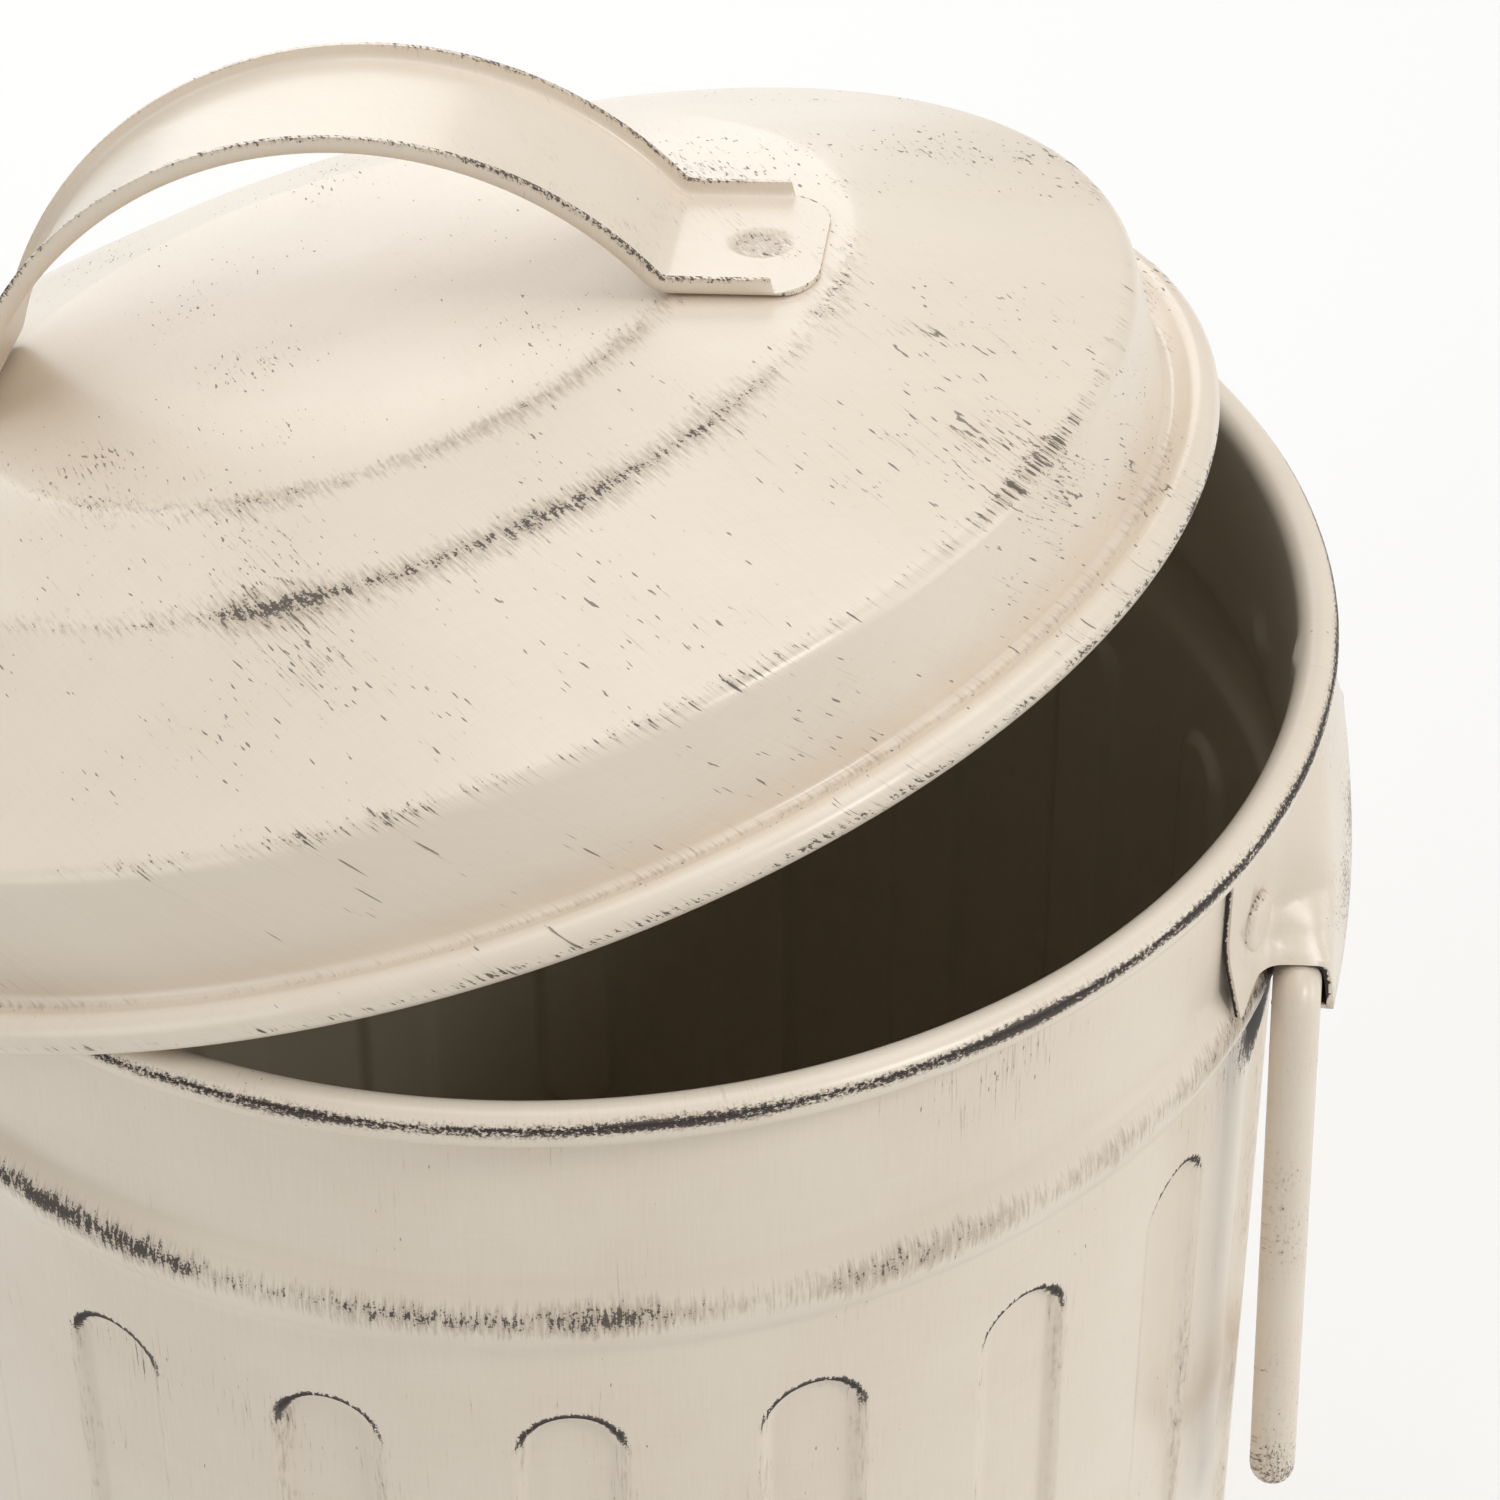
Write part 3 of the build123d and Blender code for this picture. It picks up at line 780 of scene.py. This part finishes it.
# %% Ear fixings
DOME_RADIUS = 5.2
DOME_TOP_RADIUS = DOME_RADIUS * 0.86
DOME_RISE = 1.2
DOME_ROUND = 1.6
DOME_SEAT = WALL_OUT + 1.5
DOME_ROOT = 0.9
DOME_STEPS = 48
DOME_WEAR, DOME_FLANK_WEAR = 0.15, 0.5

dome_side = [(DOME_RADIUS, -DOME_ROOT), (DOME_RADIUS, 0), (DOME_TOP_RADIUS, DOME_RISE)]
dome_line = rounded([(0, -DOME_ROOT)] + dome_side + [(0, DOME_RISE)], (0, 0, DOME_ROUND))


def dome_wear(place, normal):
    flank = 1 - outward(place, normal)
    return {"edge": DOME_WEAR + DOME_FLANK_WEAR * min(flank, 1), "rub": flank}


def laid(angle):
    """From the dome's own frame, standing on Z, to its place on the wall."""
    seat = Matrix.Translation(Vector((DOME_SEAT, 0, DIMPLE_Z)) * MM)
    return Matrix.Rotation(math.radians(angle), 4, "Z") @ seat @ Matrix.Rotation(math.radians(90), 4, "Y")


for side, middle in (("right", 0), ("left", 180)):
    pair = bmesh.new()
    for turn in (-DIMPLE_ANGLE, DIMPLE_ANGLE):
        dome = spun(dome_line, DOME_STEPS, False)
        bmesh.ops.transform(dome, matrix=laid(middle + turn), verts=dome.verts)
        holder = bpy.data.meshes.new("dome")
        dome.to_mesh(holder)
        dome.free()
        pair.from_mesh(holder)
        bpy.data.meshes.remove(holder)
    pair.normal_update()
    mask_points(pair, dome_wear)
    finished(pair, f"ear_{side}_domes", "bucket", [], small_paint)

# %% [markdown]
# ## The drop handles
# A handle is one round rod, bent at four corners. A curve with a round bevel is the natural way to draw rod:
# the path is the rod's corner line with its corners rounded, and the curve is then made a mesh.

# %% Rod from a path
ROD = 3.8
ROD_ROUNDNESS = 8


def rod(name, line, radius):
    """A bmesh tube of that radius along the line of points."""
    drawn = bpy.data.curves.new(name, "CURVE")
    drawn.dimensions = "3D"
    drawn.bevel_depth = radius * MM
    drawn.bevel_resolution = ROD_ROUNDNESS
    drawn.use_fill_caps = True
    spline = drawn.splines.new("POLY")
    spline.points.add(len(line) - 1)
    for point, place in zip(spline.points, line):
        point.co = (*(place * MM), 1)
    holder = bpy.data.objects.new(name, drawn)
    bpy.context.scene.collection.objects.link(holder)
    bpy.context.view_layer.update()
    mesh = bpy.data.meshes.new_from_object(holder.evaluated_get(bpy.context.evaluated_depsgraph_get()))
    bpy.data.objects.remove(holder)
    form = bmesh.new()
    form.from_mesh(mesh)
    return cleaned(form)


# %% Handle path
PIVOT = Vector((120.5, 0, RIM_Z - 38))
HANDLE_HALF = 39
HANDLE_REACH = 108.5
HANDLE_LEAN = math.radians(1.8)
STUB_END = 31
ELBOW = 5
HANDLE_CORNER = 7

ring = rounded(
    [(-STUB_END, 0), (-HANDLE_HALF, 0), (-HANDLE_HALF, -HANDLE_REACH)]
    + [(HANDLE_HALF, -HANDLE_REACH), (HANDLE_HALF, 0), (STUB_END, 0)],
    (ELBOW, HANDLE_CORNER, HANDLE_CORNER, ELBOW),
)
down = Vector((math.sin(HANDLE_LEAN), 0, -math.cos(HANDLE_LEAN)))
path = [PIVOT + Vector((0, point.x, 0)) - down * point.y for point in ring]
print("handle path points", len(path))

# %% Make both handles
GRIP_HALF, GRIP_WEAR, GRIP_RUB = 12, 0.12, 0.4
ARM_DROP, ARM_HALF, ARM_WEAR, ARM_RUB = 22, 24, 0.52, 0.5
ROD_WEAR, ROD_RUB = 0.25, 0.2


def rod_wear(place, normal):
    low = bump(place.z - PIVOT.z + HANDLE_REACH, GRIP_HALF)
    high = bump(place.z - PIVOT.z + ARM_DROP, ARM_HALF)
    outer = max(normal.x * math.copysign(1, place.x), 0) ** 2
    edge = ROD_WEAR + GRIP_WEAR * low + ARM_WEAR * high * outer
    return {"edge": edge, "rub": ROD_RUB + GRIP_RUB * low + ARM_RUB * high}


for side, turn in (("right", 0), ("left", math.pi)):
    node = f"handle_{side}"
    rod_form = rod(f"rod_{side}", path, ROD)
    bmesh.ops.rotate(rod_form, cent=(0, 0, 0), matrix=Matrix.Rotation(turn, 3, "Z"), verts=rod_form.verts)
    rod_form.normal_update()
    mask_points(rod_form, rod_wear)
    finished(rod_form, f"{node}_rod", node, [node], small_paint)

# %% [markdown]
# ## The lid
# The lid is spun sheet: a nearly flat middle, two creases that step the cone down, a tight shoulder,
# an upright skirt, and an edge curled over wire. Modifiers could turn and thicken an open line as well.
# A spin of both skins is chosen because its points can carry the wear at once. The section is drawn as the
# middle of the sheet, given thickness and turned, then laid on the rim by the lid's own matrix.

# %% Lid section
LID_TUBE = 3.0
LID_BEAD = (127.6, 0)
LID_SKIRT = 122.5
LID_SHOULDER = 22.6
CREASE_OUT = (81.8, 38.4)
CREASE_IN = (58.35, 44.05)
LID_MIDDLE = (20, 44.7)
LID_GUTTER = 1.5
BEAD_START, BEAD_END, BEAD_STEP = 125, -150, 12
CREASE_ROUND, SHOULDER_ROUND, GUTTER_ROUND = 9, 3.2, 1.6
LID_RUN = 3
LID_STEPS = 288

half = SHEET / 2
skirt = LID_SKIRT - half
bead_line = arc(LID_BEAD, LID_TUBE - half, BEAD_START, BEAD_END, BEAD_STEP)
tops = [(0, LID_MIDDLE[1]), LID_MIDDLE, CREASE_IN, CREASE_OUT, (skirt, LID_SHOULDER), (skirt, LID_GUTTER)]
corners = [(radius, height - half) for radius, height in tops] + [tuple(bead_line[0])]
bends = (CREASE_ROUND, CREASE_ROUND, CREASE_ROUND, SHOULDER_ROUND, GUTTER_ROUND)
cover_line = rounded(corners, bends)[:-1] + bead_line
lid_form = spun(band(filled(cover_line, LID_RUN), SHEET), LID_STEPS, False)
print("lid section points", len(cover_line))

# %% [markdown]
# ## Wear on the lid
# The creases and the shoulder are rubbed most on the side that faces the hand, and hardly at all behind.
# The bead has a thin worn line low on its outside, and the gutter above it is darkened brown.

# %% Wear on the lid
LID_WORN = math.radians(145)
LID_UNDER = -0.3
LID_INWARD = -0.5
SHOULDER_LINE, SHOULDER_HALF = (121, 22.4), 3.8
SHOULDER_WEAR, SHOULDER_RUB, SHOULDER_LEAST = 0.56, 0.6, 0.4
BEAD_WORN, BEAD_WORN_HALF, BEAD_WEAR = -12, 34, 0.60
BEAD_RUB_HALF, BEAD_RUB = 60, 0.5
GUTTER_LINE, GUTTER_HALF, GUTTER_RISE = LID_SKIRT + 1.5, 3, 6
# Radius, half width of the wear, its least strength, what the front adds, half width of the glaze.
CREASES = ((CREASE_OUT[0], 3.8, 0.20, 0.44, 9), (CREASE_IN[0], 3.0, 0.20, 0.32, 8))


def lid_wear(place, normal):
    radius = math.hypot(place.x, place.y)
    under = normal.z < LID_UNDER and radius < LID_SKIRT - 1
    if under or (outward(place, normal) < LID_INWARD and radius < LID_SKIRT + 1):
        return {"inside": 1}
    front = (0.5 + 0.5 * math.cos(math.atan2(place.y, place.x) - LID_WORN)) ** 2
    away = math.hypot(radius - SHOULDER_LINE[0], place.z - SHOULDER_LINE[1])
    shoulder = bump(away, SHOULDER_HALF) * (SHOULDER_LEAST + (1 - SHOULDER_LEAST) * front)
    edge = SHOULDER_WEAR * shoulder
    rub = max(shoulder * SHOULDER_RUB, bump(radius - GUTTER_LINE, GUTTER_HALF) * bump(place.z, GUTTER_RISE))
    for crease, half_width, least, more, rub_half in CREASES:
        edge += bump(radius - crease, half_width) * (least + more * front)
        rub = max(rub, bump(radius - crease, rub_half) * front)
    if radius > LID_SKIRT + 2:
        tube = math.degrees(math.atan2(place.z, radius - LID_BEAD[0])) - BEAD_WORN
        edge = max(edge, BEAD_WEAR * bump(tube, BEAD_WORN_HALF))
        rub = max(rub, BEAD_RUB * bump(tube, BEAD_RUB_HALF))
    return {"edge": min(edge, 1), "rub": rub}


mask_points(lid_form, lid_wear)
bmesh.ops.transform(lid_form, matrix=lid_matrix, verts=lid_form.verts)
lid_form.normal_update()
finished(lid_form, "lid_cover_skin", "lid", ["lid_cover"], lid_paint)

# %% [markdown]
# ## The strap handle
# The strap is a channel: flat sheet with both long edges turned up, bent to an arch and ending in flat feet.
# Bending one long strip by a modifier would smear its lips, so one half is swept step by step instead,
# from the top of the arch to the tip of a foot, and then mirrored.

# %% Strap section
STRAP_SHEET = 0.9
STRAP_WIDTH = 35.4
STRAP_LIP = 3.3
STRAP_BEND = 1.7
STRAP_RUN = 0.7
web = STRAP_SHEET / 2
lip_side = STRAP_WIDTH / 2 - web
lip_top = STRAP_LIP - web
section = rounded([(-lip_side, lip_top), (-lip_side, 0), (lip_side, 0), (lip_side, lip_top)], (STRAP_BEND,) * 2)
section = band(filled(section, STRAP_RUN), STRAP_SHEET)
print("strap section points", len(section))

# %% Strap path
# The arch is a circle through its top and where the feet's line would meet it at the span's ends.
# A small circle, the knee, touches both that arch and the foot.
STRAP_TOP = 79
STRAP_HEADING = math.radians(-154.01)
STRAP_MIDDLE = -1
STRAP_SPAN = 55.5
STRAP_KNEE = 5

slope = (CREASE_OUT[1] - CREASE_IN[1]) / (CREASE_OUT[0] - CREASE_IN[0])
steep = math.atan(slope)
knee_height = CREASE_IN[1] + slope * (STRAP_SPAN - CREASE_IN[0]) + FIT + web
apex = STRAP_TOP + web
rise = apex - knee_height
arch_radius = (rise**2 + STRAP_SPAN**2) / (2 * rise)
arch_height = apex - arch_radius
over = knee_height - slope * STRAP_SPAN + STRAP_KNEE / math.cos(steep) - arch_height
a, b, c = 1 + slope**2, slope * over, over**2 - (arch_radius + STRAP_KNEE) ** 2
knee_x = (-b + math.sqrt(b**2 - a * c)) / a
knee_centre = Vector((knee_x, 0, arch_height + over + slope * knee_x))
arch_centre = Vector((0, 0, arch_height))
arch_sweep = math.atan2(knee_x, knee_centre.z - arch_height)
knee_sweep = arch_sweep + steep
print("arch radius", round(arch_radius, 2), "degrees to the knee", round(math.degrees(arch_sweep), 1))

# %% Sweep half of the strap
ARCH_STEPS = 40
KNEE_STEPS = 12
STRAP_WEAR, LIP_RUB = 0.08, 0.8
NEAR_LIP, FAR_LIP = (1.3, 0.58), (0.9, 0.46)

strap_form = bmesh.new()
strap_layers = {mask: strap_form.verts.layers.float.new(mask) for mask in MASKS}
edge_layer, rub_layer = strap_layers["edge"], strap_layers["rub"]
verts = []
for across, up in section:
    vert = strap_form.verts.new(Vector((0, across, apex + up)) * MM)
    lip_half, lip_wear = NEAR_LIP if across < 0 else FAR_LIP
    lip = bump(up - lip_top, lip_half)
    vert[edge_layer] = STRAP_WEAR + lip_wear * lip
    vert[rub_layer] = LIP_RUB * lip
    verts.append(vert)
front = [strap_form.edges.new(pair) for pair in zip(verts, verts[1:] + verts[:1])]


def swept(form, front, matrix):
    """Extrudes the open edge loop and moves the new one by the matrix."""
    made = bmesh.ops.extrude_edge_only(form, edges=front)["geom"]
    points = [item for item in made if isinstance(item, bmesh.types.BMVert)]
    bmesh.ops.transform(form, matrix=matrix, verts=points)
    lines = {item for item in made if isinstance(item, bmesh.types.BMEdge)}
    kept = set(points)
    return [line for line in lines if all(end in kept for end in line.verts)], points


def turned(centre, angle):
    """A turn about the strap's cross axis through the centre."""
    place = Matrix.Translation(centre * MM)
    return place @ Matrix.Rotation(angle, 4, "Y") @ place.inverted()


for step in range(ARCH_STEPS):
    front, points = swept(strap_form, front, turned(arch_centre, arch_sweep / ARCH_STEPS))
for step in range(KNEE_STEPS):
    front, points = swept(strap_form, front, turned(knee_centre, -knee_sweep / KNEE_STEPS))
print("strap points to the knee", len(strap_form.verts))

# %% [markdown]
# ## The strap's feet
# Each foot lies flat on the lid. Its lips stop short, and its tip is rounded.
# The same sweep goes on in a straight line: past the lips' end the lips are folded flat into the web,
# and near the tip the sides are drawn in to a circle. A shallow dish marks the fixing.

# %% Run out the foot and round its tip
STRAP_LIP_END = 71.5
STRAP_TIP = 78
STRAP_TIP_ROUND = 9
LIP_STEP, TIP_STEP = 0.9, 0.5
LAST_RUN, LAST_SHARES = 0.4, (0.0, 0.5, 0.8, 0.97)
TIP_TAPER = 0.1
FOOT_WEAR, FOOT_EDGE_WEAR, FOOT_EDGE_HALF = 0.2, 0.6, 1.2

foot_way = Vector((math.cos(steep), 0, math.sin(steep)))
foot_up = Vector((-math.sin(steep), 0, math.cos(steep)))
foot_start = Vector((STRAP_SPAN, 0, knee_height))
foot_level = foot_start.dot(foot_up)
start_along = foot_start.dot(foot_way) - STRAP_SPAN / math.cos(steep)


def foot_along(distance):
    """From a distance off the strap's middle, seen from above, to one along the foot."""
    return start_along + (distance - STRAP_MIDDLE) / math.cos(steep)


middle = sum((point.co for point in points), Vector()) / len(points) / MM
here = middle.dot(foot_way)
lip_along, tip_along = foot_along(STRAP_LIP_END), foot_along(STRAP_TIP)
last_along = tip_along - LAST_RUN
stations = spaced(here, lip_along, LIP_STEP)[1:] + spaced(lip_along, last_along, TIP_STEP)
stations += [last_along + LAST_RUN * share for share in LAST_SHARES]
for station in stations:
    front, points = swept(strap_form, front, Matrix.Translation(foot_way * (station - here) * MM))
    here = station
    lipless = station > lip_along
    past = max(station - tip_along + STRAP_TIP_ROUND, 0)
    half_width = STRAP_WIDTH / 2 - STRAP_TIP_ROUND + math.sqrt(max(STRAP_TIP_ROUND**2 - past**2, 0))
    for point in points:
        place = point.co / MM
        above = place.dot(foot_up) - foot_level
        if lipless and above > web:
            point.co -= foot_up * (above - web) * MM
        if past > 0:
            limit = half_width - abs(above) * TIP_TAPER
            point.co.y = max(-limit, min(limit, place.y)) * MM
        if lipless:
            outline = bump(half_width - abs(point.co.y / MM), FOOT_EDGE_HALF) if past > 0 else 0
            point[edge_layer] = max(FOOT_WEAR, FOOT_EDGE_WEAR * outline)
bmesh.ops.holes_fill(strap_form, edges=front, sides=0)
print("stations along the foot", len(stations))

# %% Press the dish
STRAP_DIMPLE = 68.6
DISH_EDGE, DISH_WALL, DISH_DEPTH = 0.8, 1.8, 0.6
DISH_RUB_LINE, DISH_RUB_HALF = 2, 5
DISH_WORN_LINE, DISH_WORN_HALF, DISH_WEAR = 3, 3.5, 0.34

dimple_along = foot_along(STRAP_DIMPLE)
for vert in strap_form.verts:
    place = vert.co / MM
    if abs(place.dot(foot_up) - foot_level) < STRAP_SHEET:
        away = math.hypot(place.dot(foot_way) - dimple_along, place.y)
        vert.co -= foot_up * DISH_DEPTH * eased((DIMPLE_RADIUS + DISH_EDGE - away) / DISH_WALL) * MM
        vert[rub_layer] = max(vert[rub_layer], bump(away - DISH_RUB_LINE, DISH_RUB_HALF))
        vert[edge_layer] = max(vert[edge_layer], DISH_WEAR * bump(away - DISH_WORN_LINE, DISH_WORN_HALF))
print("dish along the foot at", round(dimple_along, 2))

# %% Mirror the strap and set it on the lid
half_strap = strap_form.verts[:] + strap_form.edges[:] + strap_form.faces[:]
bmesh.ops.mirror(strap_form, geom=half_strap, merge_dist=MERGE, axis="X")
cleaned(strap_form)
strap_place = Matrix.Rotation(STRAP_HEADING, 4, "Z") @ Matrix.Translation((STRAP_MIDDLE * MM, 0, 0))
bmesh.ops.transform(strap_form, matrix=lid_matrix @ strap_place, verts=strap_form.verts)
finished(strap_form, "lid_strap_skin", "lid", ["lid_strap"], small_paint, sharp=40)

# %% [markdown]
# ## Wire
# Both curls are rolled over round wire. It hardly shows, so the solids stay and get plain drawn steel,
# whose fine lines come from stretched noise.

# %% Wire material
STEEL_DARK = (0.28, 0.26, 0.24, 1)
STEEL_LIGHT = (0.42, 0.41, 0.40, 1)
DRAWN_ROUND, DRAWN_ALONG = 4, 0.2
WIRE_GRAIN = (3.0, 0.6)
WIRE_ROUGHNESS, WIRE_ROUGHNESS_MORE = 0.35, 0.2

wire = Shader("drawn_wire")
x, y, z = wire.axes(wire.object_place())
lines = wire.noise(wire.vector(x * DRAWN_ALONG, y * DRAWN_ALONG, z * DRAWN_ROUND), *WIRE_GRAIN)
wire.feed(wire.surface.inputs["Base Color"], wire.blend(lines, STEEL_DARK, STEEL_LIGHT))
wire.feed(wire.surface.inputs["Roughness"], WIRE_ROUGHNESS + lines * WIRE_ROUGHNESS_MORE)
wire.feed(wire.surface.inputs["Metallic"], 1.0)
for node in ("rim_wire", "lid_wire"):
    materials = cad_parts[node].data.materials
    materials.clear()
    materials.append(wire.material)
    print(node, "wears", wire.material.name)

# %% [markdown]
# ## Stage and light
# The photograph is a bright studio shot on white. A wide pale floor and an even sky give its soft fill.
# Big lamps above, behind and at the sides light it softly, and a smaller one from the front right
# draws the streak on the lid's shoulder. The floor lies a hair under the pan, so that their faces don't meet.

# %% Floor and sky
FLOOR_SIZE = 6
FLOOR_GAP = 0.2
FLOOR_COLOUR = (0.91, 0.91, 0.905, 1)
FLOOR_ROUGHNESS = 0.9
SKY_COLOUR = (1.0, 0.995, 0.985, 1)
SKY_STRENGTH = 0.40

floor_mesh = bpy.data.meshes.new("floor")
floor_form = bmesh.new()
bmesh.ops.create_grid(floor_form, x_segments=1, y_segments=1, size=FLOOR_SIZE)
floor_form.to_mesh(floor_mesh)
floor_form.free()
floor = bpy.data.objects.new("floor", floor_mesh)
floor.location.z = -FLOOR_GAP * MM
bpy.context.scene.collection.objects.link(floor)
floor_look = Shader("pale_floor")
floor_look.feed(floor_look.surface.inputs["Base Color"], FLOOR_COLOUR)
floor_look.feed(floor_look.surface.inputs["Roughness"], FLOOR_ROUGHNESS)
floor_mesh.materials.append(floor_look.material)

world = bpy.data.worlds.new("studio")
world.use_nodes = True
sky = world.node_tree.nodes["Background"].inputs
sky["Color"].default_value = SKY_COLOUR
sky["Strength"].default_value = SKY_STRENGTH
bpy.context.scene.world = world
print("floor and sky ready")

# %% Lamps
AIM = Vector((0, 0, 0.25))
# Place and size in metres, power in watts, colour.
LAMPS = {
    "key": ((1.51, -0.77, 1.95), 0.6, 15, (1.0, 0.99, 0.97)),
    "fill": ((-1.35, -1.25, 1.25), 1.2, 7.2, (1.0, 1.0, 0.99)),
    "top": ((0.0, 0.45, 2.1), 1.6, 14.5, (1.0, 1.0, 1.0)),
    "side": ((2.0, 0.1, 0.75), 0.9, 6.3, (1.0, 1.0, 1.0)),
    "back": ((-0.57, 1.42, 0.71), 1.2, 7.5, (1.0, 1.0, 1.0)),
}
for name, (place, size, power, colour) in LAMPS.items():
    lamp = bpy.data.lights.new(name, "AREA")
    lamp.size = size
    lamp.energy = power
    lamp.color = colour
    holder = bpy.data.objects.new(name, lamp)
    bpy.context.scene.collection.objects.link(holder)
    holder.location = place
    holder.rotation_euler = (AIM - Vector(place)).to_track_quat("-Z", "Y").to_euler()
bpy.context.scene.view_settings.view_transform = "Standard"
print("lamps", sorted(LAMPS))

# %% [markdown]
# ## Camera
# The photograph looks down on the bucket from the front through a long lens.
# It could be placed by eye. Fitting the ellipses of the rim and the lid gives its place and angles more closely.

# %% Camera
CAMERA_PLACE = Vector((102.98, -591.89, 745.67)) * MM
CAMERA_PITCH = math.radians(90 - 39.382)
CAMERA_HEADING = math.radians(6.922)
CAMERA_ROLL = math.radians(-0.133)
SENSOR_WIDTH = 36
LENS = 115.22
camera_data = bpy.data.cameras.new("camera")
camera_data.sensor_width = SENSOR_WIDTH
camera_data.lens = LENS
camera = bpy.data.objects.new("camera", camera_data)
bpy.context.scene.collection.objects.link(camera)
camera.matrix_world = (
    Matrix.Translation(CAMERA_PLACE)
    @ Matrix.Rotation(CAMERA_HEADING, 4, "Z")
    @ Matrix.Rotation(CAMERA_PITCH, 4, "X")
    @ Matrix.Rotation(CAMERA_ROLL, 4, "Z")
)
bpy.context.scene.camera = camera
print("camera at", [round(value, 3) for value in camera.location])
